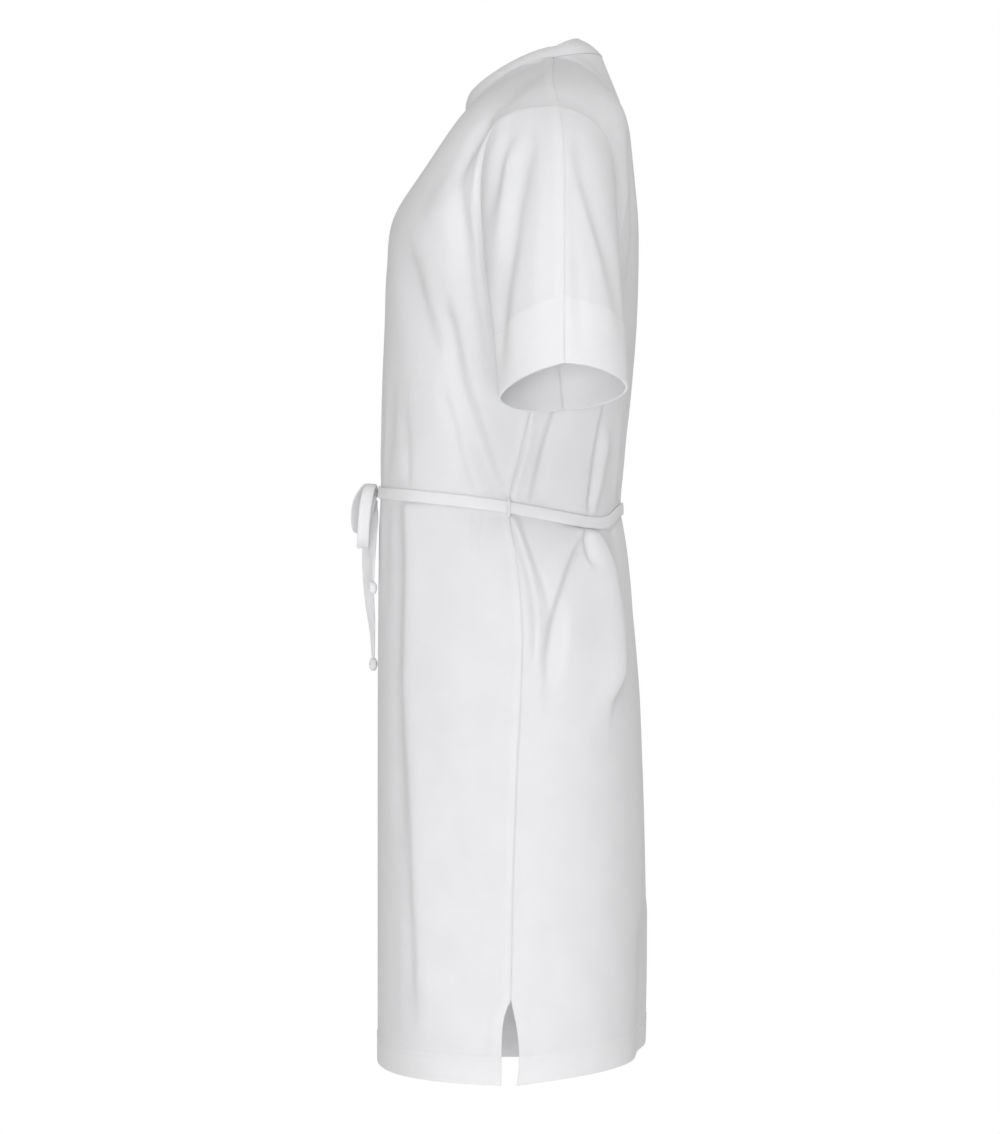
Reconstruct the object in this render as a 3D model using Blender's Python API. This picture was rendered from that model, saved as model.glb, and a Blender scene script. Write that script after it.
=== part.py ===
"""Knee-length jersey dress with dropped half sleeves, a neckband and a narrow tie belt.

Metres, +Z up, +X to the wearer's left, -Y to the front. The origin lies midway between
the two points where the neckband meets the shoulder seams.
"""

import math
from collections import namedtuple

import bmesh
import bpy
import numpy as np

# The cloth: thickness of its walls and the gap between pieces at a seam
WALL = 0.0020
SEAM_GAP = 0.0003
# Neighbouring normals are shared over a seam where their dot product is above this
SAME_WAY = 0.75

# The body's tube: how far its sections bulge beyond an ellipse, and its levels
SQUARENESS = 0.07
UNDERARM_Z = -0.243
HEM_Z = -0.929
HEM_RISE_FROM_Z = -0.80
HEM_RISE_FRONT = 0.0035
HEM_RISE_BACK = 0.0150

# The side slits. The left one stands open; the right one hangs almost closed, on a side
# seam that swings a little to the back as it comes down
SLIT_TOP_Z = -0.854
SLIT_FRONT_SHIFT = 0.0085
SLIT_FRONT_SPREAD = 0.012
SLIT_BACK_SHIFT = 0.0075
SLIT_BACK_SPREAD = 0.075
SLIT_BACK_TURN = 2.4
RIGHT_SLIT_SHARE = 0.12
RIGHT_TWIST = 0.020
TWIST_FROM_Z = -0.60

# The right side hangs a little lower than the left one, from a height above the hem
# and from a short way right of the middle
RIGHT_HEM_DROP = 0.020
DROP_FROM_Z = -0.70
DROP_ACROSS = (0.1, 0.9)

# The neck seam and the band that stands on it
NECK_HALF_WIDTH = 0.090
NECK_FRONT_Y = -0.0804
NECK_FRONT_DROP = (0.010, 0.0315)
NECK_BACK_Y = 0.047
NECK_BACK_RISE = 0.010
NECK_SHARE = 0.46
BAND_HALF_WIDTH = 0.076
BAND_FRONT = (-0.0757, -0.0228)
BAND_SIDE = (0.0030, 0.0118)
BAND_BACK = (0.0264, 0.0250)
BAND_WALL = 0.0024
BAND_SWELL = 0.0016
SWELL_UP = 0.6
BAND_HEIGHTS = (0.0, 0.35, 0.7, 1.0)

# The belt, and how far it draws the waist in
BELT_WIDTH = 0.011
BELT_THICKNESS = 0.0026
BELT_GAP = 0.0005
BELT_CINCH = 0.0045
CINCH_IN_DEPTH = 0.25
CINCH_SPREAD = 0.020
BELT_SWAY_SPREAD = 0.10
LOOP_WIDTH = 0.0030
LOOP_THICKNESS = 0.0012

# The bow
RIBBON_THICKNESS = 0.0020
RIBBON_STEPS = 30
STRAIGHT_OUT = 0.003
HALF_SPREAD = 0.004
TAIL_SPREAD = 0.0035
KNOT_SIZE = (0.015, 0.012, 0.015)
END_KNOT_SIZE = (0.009, 0.008, 0.0125)
KNOT_ROUNDING = 0.26

# The sleeves: the hem's ellipse, and the way that the cloth leaves the armhole at four
# places from its top round to the underarm
SLEEVE_HEM_CENTRE = (0.2485, 0.0075, -0.3085)
SLEEVE_HEM_OUT = (0.0515, 0.0, 0.0185)
SLEEVE_HEM_FRONT = (0.0, -0.0575, -0.0100)
SLEEVE_HEM_BACK = (0.0, 0.0560, -0.0010)
SLEEVE_AXIS = (0.30, 0.03, -0.953)
LEAVING_AT = (0.0, 0.3, 0.6, 1.0)
LEAVING = [(0.80, 0.10, -0.60), (0.62, 0.04, -0.78), (0.40, 0.0, -0.92), (0.30, 0.05, -0.95)]

# Numbers of grid steps: round half of the neck, from there to the armhole, up the yoke
# and down the sleeve
NECK_STEPS = 7
SHOULDER_STEPS = 13
YOKE_STEPS = 11
SLEEVE_STEPS = 9
SHARE_CROWDING = 0.9

# Rows of a panel from the hem to the slit's top, the hips, the belt and the underarm
HIP_Z = -0.60
SLIT_ROWS = 4
SKIRT_ROWS = 7
HIP_ROWS = 11
RIB_ROWS = 9
NEXT_TO_BELT = 0.008

# The body's sections: half width, front and back at the centre, and the side seam
Section = namedtuple("Section", "z half_width front_y back_y seam_y")
SECTIONS = [
    Section(-0.940, 0.2010, -0.1630, 0.0870, -0.0390),
    Section(-0.854, 0.2000, -0.1630, 0.0880, -0.0388),
    Section(-0.750, 0.1975, -0.1630, 0.0872, -0.0370),
    Section(-0.650, 0.1940, -0.1630, 0.0845, -0.0335),
    Section(-0.580, 0.1890, -0.1629, 0.0815, -0.0300),
    Section(-0.520, 0.1820, -0.1626, 0.0765, -0.0290),
    Section(-0.460, 0.1710, -0.1620, 0.0705, -0.0340),
    Section(-0.413, 0.1620, -0.1612, 0.0655, -0.0410),
    Section(-0.360, 0.1660, -0.1600, 0.0686, -0.0300),
    Section(-0.300, 0.1745, -0.1588, 0.0745, -0.0150),
    Section(-0.243, 0.1845, -0.1566, 0.0790, -0.0020),
    Section(-0.180, 0.1900, -0.1544, 0.0808, 0.0060),
]

# The yoke's rows, by their reach up from the underarm: the centre, the column under the
# side of the neck, the column under the middle of the shoulder, and the armhole
Yoke = namedtuple("Yoke", "reach centre neck shoulder armhole")
FRONT_YOKE = [
    Yoke(
        0.050,
        centre=(0.0, -0.1546, -0.190),
        neck=(0.127, -0.1320, -0.192),
        shoulder=(0.1690, -0.0915, -0.198),
        armhole=(0.1795, -0.0460, -0.205),
    ),
    Yoke(
        0.120,
        centre=(0.0, -0.1443, -0.133),
        neck=(0.124, -0.1220, -0.126),
        shoulder=(0.1660, -0.0970, -0.123),
        armhole=(0.1900, -0.0655, -0.125),
    ),
    Yoke(
        0.175,
        centre=(0.0, -0.1046, -0.083),
        neck=(0.109, -0.0800, -0.050),
        shoulder=(0.1620, -0.0700, -0.056),
        armhole=(0.2050, -0.0504, -0.0705),
    ),
]
BACK_YOKE = [
    Yoke(
        0.050,
        centre=(0.0, 0.0808, -0.185),
        neck=(0.127, 0.0715, -0.190),
        shoulder=(0.1690, 0.0580, -0.198),
        armhole=(0.1800, 0.0400, -0.205),
    ),
    Yoke(
        0.120,
        centre=(0.0, 0.0786, -0.125),
        neck=(0.124, 0.0730, -0.122),
        shoulder=(0.1670, 0.0670, -0.120),
        armhole=(0.1900, 0.0550, -0.127),
    ),
    Yoke(
        0.175,
        centre=(0.0, 0.0690, -0.052),
        neck=(0.108, 0.0620, -0.046),
        shoulder=(0.1640, 0.0580, -0.053),
        armhole=(0.2065, 0.0435, -0.080),
    ),
]
TOP_REACH = 0.235
BEYOND_TOP = 0.06
STRAIGHT_ON = 0.6

# Between these shares of the quarter girth the aim over the top edge turns from the neck's
# to the shoulder's
AIM_TURNS = (0.24, 0.48)
SHOULDER_LINE = [
    (0.090, 0.0, 0.0),
    (0.140, -0.0010, -0.0145),
    (0.190, -0.0015, -0.0350),
    (0.225, 0.0036, -0.0590),
]

# The belt's middle height, by the turn from the centre front round to the centre back
BeltHeight = namedtuple("BeltHeight", "turn left right")
BELT_LINE = [
    BeltHeight(0, -0.3965, -0.3965),
    BeltHeight(50, -0.4030, -0.4040),
    BeltHeight(90, -0.4134, -0.4150),
    BeltHeight(110, -0.4202, -0.4205),
    BeltHeight(130, -0.4265, -0.4240),
    BeltHeight(140, -0.4268, -0.4235),
    BeltHeight(156, -0.4165, -0.4160),
    BeltHeight(180, -0.4120, -0.4120),
]
BELT_BASE_Z = -0.413

# Folds seen from one side: `path` runs from the top down through (across, height) points,
# `before` and `after` are its widths on either side, and `rise` is its height
Fold = namedtuple("Fold", "view path before after rise")
FOLDS = [
    Fold("left", [
        (-0.0370, -0.4267), (-0.0316, -0.4428), (-0.0253, -0.4625), (-0.0208, -0.4831),
        (-0.0173, -0.5073), (-0.0164, -0.5413),
    ], 0.0065, 0.0065, 0.0055),
    Fold("left", [
        (0.0221, -0.4348), (0.0105, -0.4587), (-0.0003, -0.4914), (-0.0065, -0.5139),
        (-0.0119, -0.5431),
    ], 0.0161, 0.0065, 0.0053),
    Fold("left", [
        (0.0293, -0.4473), (0.0185, -0.4670), (0.0078, -0.4939), (-0.0003, -0.5189),
        (-0.0047, -0.5431), (-0.0047, -0.5861),
    ], 0.0065, 0.0134, -0.0029),
    Fold("left", [
        (0.0347, -0.4348), (0.0454, -0.4607), (0.0535, -0.4876), (0.0579, -0.5127),
        (0.0597, -0.5413), (0.0561, -0.5682), (0.0481, -0.5896),
    ], 0.0134, 0.0065, 0.0085),
    Fold("left", [
        (-0.1390, -0.1796), (-0.1319, -0.2011), (-0.1247, -0.2280), (-0.1157, -0.2548),
        (-0.1086, -0.2799),
    ], 0.0152, 0.0098, -0.0072),
    Fold("left", [
        (-0.1005, -0.2369), (-0.0960, -0.2548), (-0.0907, -0.2817), (-0.0844, -0.3085),
        (-0.0746, -0.3354), (-0.0656, -0.3623), (-0.0584, -0.3846), (-0.0486, -0.4043),
    ], 0.0098, 0.0081, -0.0081),
    Fold("left", [(0.0069, -0.3130), (-0.0065, -0.3542), (-0.0182, -0.4025)], 0.0065, 0.0107, -0.0055),
    Fold("left", [
        (0.0427, -0.2996), (0.0391, -0.3273), (0.0343, -0.3479), (0.0281, -0.3891),
        (0.0257, -0.4213),
    ], 0.0161, 0.0065, 0.0036),
    Fold("left", [
        (-0.1319, -0.4097), (-0.1292, -0.4607), (-0.1301, -0.5144), (-0.1310, -0.5771),
        (-0.1283, -0.6219), (-0.1247, -0.6756), (-0.1220, -0.7472), (-0.1184, -0.8188),
        (-0.1184, -0.8636),
    ], 0.0065, 0.0125, 0.0039),
    Fold("left", [
        (-0.0871, -0.1205), (-0.0844, -0.1474), (-0.0790, -0.1743), (-0.0764, -0.2011),
        (-0.0728, -0.2280), (-0.0692, -0.2548), (-0.0647, -0.2817), (-0.0593, -0.3041),
    ], 0.0116, 0.0072, -0.0043),
    Fold("right", [
        (-0.0364, -0.4267), (-0.0319, -0.4436), (-0.0275, -0.4643), (-0.0230, -0.4859),
        (-0.0213, -0.5113), (-0.0228, -0.5470),
    ], 0.0065, 0.0073, 0.0044),
    Fold("right", [
        (0.0234, -0.4348), (0.0105, -0.4609), (0.0005, -0.4966), (-0.0069, -0.5212),
        (-0.0122, -0.5531),
    ], 0.0156, 0.0065, 0.0049),
    Fold("right", [
        (0.0299, -0.4467), (0.0178, -0.4647), (0.0054, -0.4894), (-0.0030, -0.5124),
        (-0.0086, -0.5346), (-0.0111, -0.5740),
    ], 0.0065, 0.0129, -0.0023),
    Fold("right", [
        (0.0354, -0.4348), (0.0455, -0.4617), (0.0541, -0.4896), (0.0611, -0.5157),
        (0.0624, -0.5454), (0.0605, -0.5733), (0.0550, -0.5955),
    ], 0.0142, 0.0065, 0.0089),
    Fold("right", [
        (-0.1398, -0.1754), (-0.1310, -0.1978), (-0.1213, -0.2258), (-0.1107, -0.2537),
        (-0.1046, -0.2798),
    ], 0.0183, 0.0114, -0.0075),
    Fold("right", [
        (-0.0991, -0.2400), (-0.0959, -0.2589), (-0.0886, -0.2872), (-0.0830, -0.3155),
        (-0.0731, -0.3438), (-0.0629, -0.3722), (-0.0539, -0.3957), (-0.0452, -0.4164),
    ], 0.0101, 0.0095, -0.0082),
    Fold("right", [(0.0082, -0.3084), (-0.0044, -0.3448), (-0.0173, -0.3875)], 0.0065, 0.0097, -0.0053),
    Fold("right", [
        (0.0432, -0.2995), (0.0381, -0.3298), (0.0318, -0.3523), (0.0242, -0.3974),
        (0.0234, -0.4326),
    ], 0.0178, 0.0065, 0.0029),
    Fold("right", [
        (-0.1322, -0.4097), (-0.1305, -0.4645), (-0.1323, -0.5221), (-0.1342, -0.5894),
        (-0.1318, -0.6375), (-0.1289, -0.6952), (-0.1249, -0.7721), (-0.1240, -0.8489),
        (-0.1246, -0.8971),
    ], 0.0074, 0.0151, 0.0031),
    Fold("right", [
        (-0.0883, -0.1221), (-0.0849, -0.1490), (-0.0786, -0.1759), (-0.0777, -0.2027),
        (-0.0747, -0.2296), (-0.0707, -0.2564), (-0.0677, -0.2833), (-0.0633, -0.3057),
    ], 0.0123, 0.0078, -0.0035),
    Fold("back", [(0.0500, -0.8000), (0.0650, -0.9400)], 0.0450, 0.0450, -0.0070),
    Fold("back", [(-0.0700, -0.7800), (-0.0850, -0.9400)], 0.0500, 0.0500, 0.0060),
    Fold("back", [(0.0620, -0.3300), (0.0480, -0.4020)], 0.0120, 0.0120, -0.0045),
    Fold("back", [(-0.0450, -0.3250), (-0.0380, -0.4020)], 0.0120, 0.0140, -0.0040),
    Fold("back", [(0.0400, -0.4240), (0.0520, -0.5100)], 0.0120, 0.0140, 0.0015),
    Fold("back", [(-0.0550, -0.4240), (-0.0660, -0.5200)], 0.0140, 0.0120, 0.0015),
]

# A fold fades in and out over this share of its length, up to this many metres
FADE_SHARE = 0.3
LONGEST_FADE = 0.03

# Side folds grow to their full height between these two shares of the quarter girth, and
# all folds end between these two reaches above the underarm
SIDE_FOLDS = (0.20, 0.50)
FOLDS_END = (0.02, 0.12)

# Routes of the bow's ribbons after they leave the knot, and the way their width faces
LEFT_LOOP = [
    (0.0175, -0.1690, -0.3905),
    (0.0300, -0.1705, -0.3945),
    (0.0390, -0.1730, -0.4070),
    (0.0425, -0.1750, -0.4270),
    (0.0405, -0.1758, -0.4430),
    (0.0345, -0.1762, -0.4490),
    (0.0295, -0.1760, -0.4410),
    (0.0265, -0.1745, -0.4240),
    (0.0180, -0.1705, -0.4090),
]
RIGHT_LOOP = [
    (-0.0170, -0.1715, -0.3895),
    (-0.0255, -0.1775, -0.3950),
    (-0.0315, -0.1835, -0.4070),
    (-0.0325, -0.1850, -0.4200),
    (-0.0290, -0.1820, -0.4340),
    (-0.0235, -0.1770, -0.4345),
    (-0.0205, -0.1740, -0.4230),
    (-0.0160, -0.1710, -0.4090),
]
LONG_TAIL = [
    (-0.0040, -0.1700, -0.4250),
    (-0.0030, -0.1725, -0.4500),
    (-0.0010, -0.1715, -0.4900),
    (0.0010, -0.1683, -0.5250),
    (0.0010, -0.1673, -0.5515),
]
LONG_FACINGS = [(0.10, 1.0, 0.0), (0.25, 1.0, 0.0), (0.7, 0.8, 0.0), (1.0, 0.35, 0.0)]
SHORT_TAIL = [
    (0.0120, -0.1671, -0.4200),
    (0.0240, -0.1670, -0.4430),
    (0.0335, -0.1669, -0.4640),
    (0.0345, -0.1668, -0.4800),
]
SHORT_FACINGS = [(0.3, 1.0, 0.0), (0.8, 0.55, 0.0), (0.95, 0.30, 0.0)]
TAPER = np.concatenate([np.full(14, 1.0), [0.92, 0.72, 0.50]])

Material = namedtuple("Material", "colour roughness")
JERSEY = Material((0.86, 0.86, 0.87), 0.9)
RIBBON = Material((0.88, 0.88, 0.89), 0.88)


BACKWARD = np.array([0.0, 1.0, 0.0])


def through(knots, values, at):
    """A smooth curve through the values, one for each knot, read at the given places."""
    knots = np.asarray(knots, float)
    values = np.asarray(values, float)
    at = np.asarray(at, float)
    steps = np.diff(knots)
    shape = (-1,) + (1,) * (values.ndim - 1)
    slopes = np.diff(values, axis=0) / steps.reshape(shape)
    tangents = np.empty_like(values)
    tangents[0] = slopes[0]
    tangents[-1] = slopes[-1]
    before = steps[:-1].reshape(shape)
    after = steps[1:].reshape(shape)
    tangents[1:-1] = (after * slopes[:-1] + before * slopes[1:]) / (before + after)
    index = np.clip(np.searchsorted(knots, at, side="right") - 1, 0, len(steps) - 1)
    step = steps[index]
    t = np.clip((at - knots[index]) / step, 0.0, 1.0)
    wide = t.shape + (1,) * (values.ndim - 1)
    t = t.reshape(wide)
    step = step.reshape(wide)
    return (
        (2 * t**3 - 3 * t**2 + 1) * values[index]
        + (t**3 - 2 * t**2 + t) * step * tangents[index]
        + (3 * t**2 - 2 * t**3) * values[index + 1]
        + (t**3 - t**2) * step * tangents[index + 1]
    )


def smooth_step(low, high, value):
    t = np.clip((value - low) / (high - low), 0.0, 1.0)
    return t * t * (3 - 2 * t)


def column(rows, name):
    return [getattr(row, name) for row in rows]


def section_value(name, z):
    return through(column(SECTIONS, "z"), column(SECTIONS, name), z)


def belt_height(side, u):
    """Middle height of the belt at share u across the front (side -1) or back (side 1)."""
    turn = np.abs(u) * 90 if side < 0 else 180 - np.abs(u) * 90
    left = through(column(BELT_LINE, "turn"), column(BELT_LINE, "left"), turn)
    right = through(column(BELT_LINE, "turn"), column(BELT_LINE, "right"), turn)
    return np.where(u > 0, left, right)


def slit_shift(side, u, level):
    """How far the edge stands back from the seam line, below the top of the slit."""
    below = np.clip(SLIT_TOP_Z - level, 0.0, None)
    if side < 0:
        shift = SLIT_FRONT_SHIFT * (1 - np.exp(-below / SLIT_FRONT_SPREAD))
    else:
        shift = SLIT_BACK_SHIFT * np.sin(np.clip(below / SLIT_BACK_SPREAD, 0, 1) * SLIT_BACK_TURN)
    return np.where(u < 0, shift * RIGHT_SLIT_SHARE, shift)


def body_point(side, u, level):
    """A point of the body's tube: u runs -1 to 1 from the right side seam to the left."""
    u, level = np.broadcast_arrays(np.asarray(u, float), np.asarray(level, float))
    near_belt = np.exp(-(((level - BELT_BASE_Z) / BELT_SWAY_SPREAD) ** 2))
    hem_rise = (HEM_RISE_FRONT if side < 0 else HEM_RISE_BACK) * np.cos(u * math.pi / 2)
    z = level + (belt_height(side, u) - BELT_BASE_Z) * near_belt
    z = z + hem_rise * smooth_step(HEM_RISE_FROM_Z, HEM_Z, level)
    to_the_right = smooth_step(DROP_ACROSS[0], DROP_ACROSS[1], -u)
    z = z - RIGHT_HEM_DROP * to_the_right * smooth_step(DROP_FROM_Z, HEM_Z, level)
    twist = np.where(u < 0, -u * RIGHT_TWIST * smooth_step(TWIST_FROM_Z, HEM_Z, level), 0.0)
    seam = section_value("seam_y", level) + twist
    far = section_value("front_y" if side < 0 else "back_y", level)
    width = section_value("half_width", level)
    angle = u * (math.pi / 2 - slit_shift(side, u, level) / np.abs(far - seam))
    round_out = 1 + SQUARENESS * np.sin(2 * angle) ** 2
    cinch = BELT_CINCH * np.exp(-(((level - BELT_BASE_Z) / CINCH_SPREAD) ** 2))
    x = (width - cinch) * np.sin(angle) * round_out
    depth = far - seam - np.sign(far - seam) * cinch * CINCH_IN_DEPTH
    y = seam + depth * np.cos(angle) * round_out
    return np.stack([x, y, z], axis=-1)


def mirrored(points, u):
    """A row through four points of the left half, and their mirror images, read at u."""
    knots = [-1, -(1 + NECK_SHARE) / 2, -NECK_SHARE, 0, NECK_SHARE, (1 + NECK_SHARE) / 2, 1]
    points = np.array(points)
    return through(knots, np.concatenate([points[:0:-1] * (-1, 1, 1), points]), u)


def neck_point(side, u):
    """The seam of the neckband, u from -NECK_SHARE to NECK_SHARE."""
    turn = u / NECK_SHARE * math.pi / 2
    across = NECK_HALF_WIDTH * np.sin(turn)
    ahead = np.cos(turn)
    if side < 0:
        drop = NECK_FRONT_DROP[0] * ahead + NECK_FRONT_DROP[1] * ahead**2
        return np.stack([across, NECK_FRONT_Y * ahead, -drop], -1)
    return np.stack([across, NECK_BACK_Y * ahead, NECK_BACK_RISE * ahead], -1)


def top_row(side, shares):
    """The panel's top edge: the neck seam, and the shoulder seams beyond it."""
    knots = np.linspace(NECK_SHARE, 1, len(SHOULDER_LINE))
    shoulder = through(knots, SHOULDER_LINE, np.abs(shares))
    shoulder[:, 0] *= np.sign(shares)
    neck = neck_point(side, np.clip(shares, -NECK_SHARE, NECK_SHARE))
    return np.where(np.abs(shares)[:, None] <= NECK_SHARE, neck, shoulder)


def yoke_grid(side, shares, reaches):
    """Rows above the underarm. The surface runs through the marked rows, and past the top
    edge it aims straight on at the neck and over to the other panel at the shoulder."""
    yoke = FRONT_YOKE if side < 0 else BACK_YOKE
    other = BACK_YOKE if side < 0 else FRONT_YOKE
    step = SECTIONS[-2].z - SECTIONS[-3].z
    rows = [body_point(side, shares, UNDERARM_Z - step), body_point(side, shares, UNDERARM_Z)]
    rows += [mirrored(row[1:], shares) for row in yoke]
    top = top_row(side, shares)
    straight = top + (top - rows[-1]) * STRAIGHT_ON
    beyond = mirrored(other[-1][1:], shares)
    share = smooth_step(AIM_TURNS[0], AIM_TURNS[1], np.abs(shares))[:, None]
    rows += [top, straight * (1 - share) + beyond * share]
    knots = [-step, 0.0] + column(yoke, "reach") + [TOP_REACH, TOP_REACH + BEYOND_TOP]
    return through(knots, np.stack(rows), reaches)


def panel_surface(side, shares, levels):
    """The front (side -1) or back (side 1), row by row: a level is a height below the
    underarm, and above it UNDERARM_Z plus a reach."""
    tube = body_point(side, shares[None, :], levels[levels <= UNDERARM_Z][:, None])
    reaches = levels[levels > UNDERARM_Z] - UNDERARM_Z
    return np.concatenate([tube, yoke_grid(side, shares, reaches)])


def fold_rise(points, view):
    """Height of the folds at each point of a panel, as seen from the named side."""
    across = points[..., 1] if view in ("left", "right") else points[..., 0]
    height = points[..., 2]
    rise = np.zeros(points.shape[:-1])
    for fold in (fold for fold in FOLDS if fold.view == view):
        path = np.array(fold.path)[::-1]
        low, high = path[0, 1], path[-1, 1]
        slant = np.hypot(1.0, (path[-1, 0] - path[0, 0]) / (high - low))
        away = (across - through(path[:, 1], path[:, 0], height)) / slant
        width = np.where(away < 0, fold.before, fold.after)
        fade = min(FADE_SHARE * (high - low), LONGEST_FADE)
        ends = smooth_step(low - fade, low + fade, height)
        ends = ends * (1 - smooth_step(high - fade / 2, high + fade, height))
        rise += fold.rise * ends * np.exp(-((away / width) ** 2))
    return rise


def grid_normals(points, outward):
    """Unit normals of a grid of points, turned to the side of `outward`."""
    along = np.gradient(points, axis=0)
    across = np.gradient(points, axis=1)
    normals = np.cross(across, along)
    normals /= np.linalg.norm(normals, axis=-1, keepdims=True)
    return normals if np.sum(normals * outward) > 0 else -normals


def panel_grid(side, shares, levels):
    """Outer points of a panel, row by row from the hem up, with its folds raised."""
    points = panel_surface(side, shares, levels)
    normals = grid_normals(points, BACKWARD * side)
    u, level = np.meshgrid(shares, levels)
    sideways = smooth_step(SIDE_FOLDS[0], SIDE_FOLDS[1], np.abs(u))
    view = {"left": sideways * (u > 0), "right": sideways * (u < 0), "back": 1.0 * (side > 0)}
    below_yoke = 1 - smooth_step(FOLDS_END[0], FOLDS_END[1], level - UNDERARM_Z)
    held = smooth_step(BELT_WIDTH / 2, BELT_WIDTH, np.abs(level - BELT_BASE_Z))
    for name, share in view.items():
        rise = fold_rise(points, name) * share * below_yoke * held
        points = points + normals * rise[..., None]
    return points


def panel_shares():
    neck = np.linspace(0, NECK_SHARE, NECK_STEPS + 1)
    side = NECK_SHARE + (1 - NECK_SHARE) * np.linspace(0, 1, SHOULDER_STEPS + 1)[1:] ** SHARE_CROWDING
    half = np.concatenate([neck, side])
    return np.concatenate([-half[:0:-1], half])


def yoke_reaches():
    return np.linspace(0, TOP_REACH, YOKE_STEPS + 1)


def panel_levels():
    low = BELT_BASE_Z - BELT_WIDTH / 2
    high = BELT_BASE_Z + BELT_WIDTH / 2
    hem = np.linspace(HEM_Z, SLIT_TOP_Z, SLIT_ROWS)[:-1]
    skirt = np.linspace(SLIT_TOP_Z, HIP_Z, SKIRT_ROWS)
    hip = np.linspace(HIP_Z, low - NEXT_TO_BELT, HIP_ROWS)[1:]
    ribs = np.linspace(high + NEXT_TO_BELT, UNDERARM_Z, RIB_ROWS)
    yoke = UNDERARM_Z + yoke_reaches()[1:]
    return np.concatenate([hem, skirt, hip, [low, high], ribs, yoke])


def sleeve_grid(side, hand, armhole):
    """Half a sleeve: rows run down from the armhole's points, its columns from the top seam
    round to the underarm seam; hand is 1 for the left sleeve and -1 for the right."""
    share = np.linspace(0, 1, len(armhole))
    turn = math.pi * share[:, None]
    edge = np.array(SLEEVE_HEM_FRONT if side < 0 else SLEEVE_HEM_BACK)
    hem = np.array(SLEEVE_HEM_CENTRE) + np.cos(turn) * SLEEVE_HEM_OUT + np.sin(turn) * edge
    start = armhole * (hand, 1, 1)
    reach = np.linalg.norm(hem - start, axis=-1, keepdims=True)
    leave = through(LEAVING_AT, LEAVING, share)
    rows = []
    for t in np.linspace(0, 1, SLEEVE_STEPS + 1):
        row = (
            (2 * t**3 - 3 * t**2 + 1) * start
            + (t**3 - 2 * t**2 + t) * reach * leave
            + (3 * t**2 - 2 * t**3) * hem
            + (t**3 - t**2) * reach * np.array(SLEEVE_AXIS)
        )
        rows.append(row * (hand, 1, 1))
    return np.array(rows)


Piece = namedtuple("Piece", "name points normals wall material closed")


def piece(name, points, outward, wall, material, closed=False):
    return Piece(name, points, grid_normals(points, outward), wall, material, closed)


def share_seam_normals(pieces):
    """Where pieces run on smoothly over a seam, both take the mean of their normals there.
    At a sharp turn, as under the arm, each keeps its own."""
    met = {}
    for item in pieces:
        rows, columns = item.points.shape[:2]
        for i in range(rows):
            for j in range(columns):
                if 0 < i < rows - 1 and 0 < j < columns - 1:
                    continue
                key = tuple(np.round(item.points[i, j] * 1e5).astype(int))
                met.setdefault(key, []).append((item, i, j))
    for places in met.values():
        own = [item.normals[i, j].copy() for item, i, j in places]
        for (item, i, j), normal in zip(places, own):
            total = sum(other for other in own if other @ normal > SAME_WAY)
            total = total / np.linalg.norm(total)
            item.normals[i, j] = total / (total @ normal)


def pulled_in(points, closed):
    """The grid with its seam edges drawn back by half the seam gap."""
    result = points.copy()
    half = SEAM_GAP / 2
    edges = [(0, 1, 0), (-1, -2, 0)]
    if not closed:
        edges += [(0, 1, 1), (-1, -2, 1)]
    for edge, inner, axis in edges:
        at = [slice(None)] * 2
        to = [slice(None)] * 2
        at[axis] = edge
        to[axis] = inner
        pull = points[tuple(to)] - points[tuple(at)]
        length = np.linalg.norm(pull, axis=-1, keepdims=True)
        result[tuple(at)] += pull / length * half
    return result


def new_object(name, mesh, material):
    body = bpy.data.objects.new(name, mesh)
    COLLECTION.objects.link(body)
    finish = bpy.data.materials.new(name)
    finish.use_nodes = True
    shader = finish.node_tree.nodes["Principled BSDF"]
    shader.inputs["Base Color"].default_value = (*material.colour, 1.0)
    shader.inputs["Roughness"].default_value = material.roughness
    shader.inputs["Metallic"].default_value = 0.0
    mesh.materials.append(finish)
    mesh.shade_smooth()
    mesh.set_sharp_from_angle(angle=math.radians(40))
    return body


def make_shell(item):
    """A closed wall between the piece's outer points and the same points moved in."""
    outer = pulled_in(item.points, item.closed)
    inner = outer - item.normals * item.wall
    rows, columns = outer.shape[:2]
    shell = bmesh.new()
    tag = shell.verts.layers.int.new("place")
    bmesh.ops.create_grid(shell, x_segments=columns - 1, y_segments=rows - 1, size=0.5)
    for vertex in shell.verts:
        i = round((vertex.co.y + 0.5) * (rows - 1))
        j = round((vertex.co.x + 0.5) * (columns - 1))
        vertex[tag] = i * columns + j
        vertex.co = outer[i, j]
    if item.closed:
        bmesh.ops.remove_doubles(shell, verts=list(shell.verts), dist=1e-6)
    made = bmesh.ops.extrude_face_region(shell, geom=list(shell.faces))
    for vertex in made["geom"]:
        if isinstance(vertex, bmesh.types.BMVert):
            i, j = divmod(vertex[tag], columns)
            vertex.co = inner[i, j]
    bmesh.ops.recalc_face_normals(shell, faces=list(shell.faces))
    mesh = bpy.data.meshes.new(item.name)
    shell.to_mesh(mesh)
    shell.free()
    return new_object(item.name, mesh, item.material)


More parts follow.
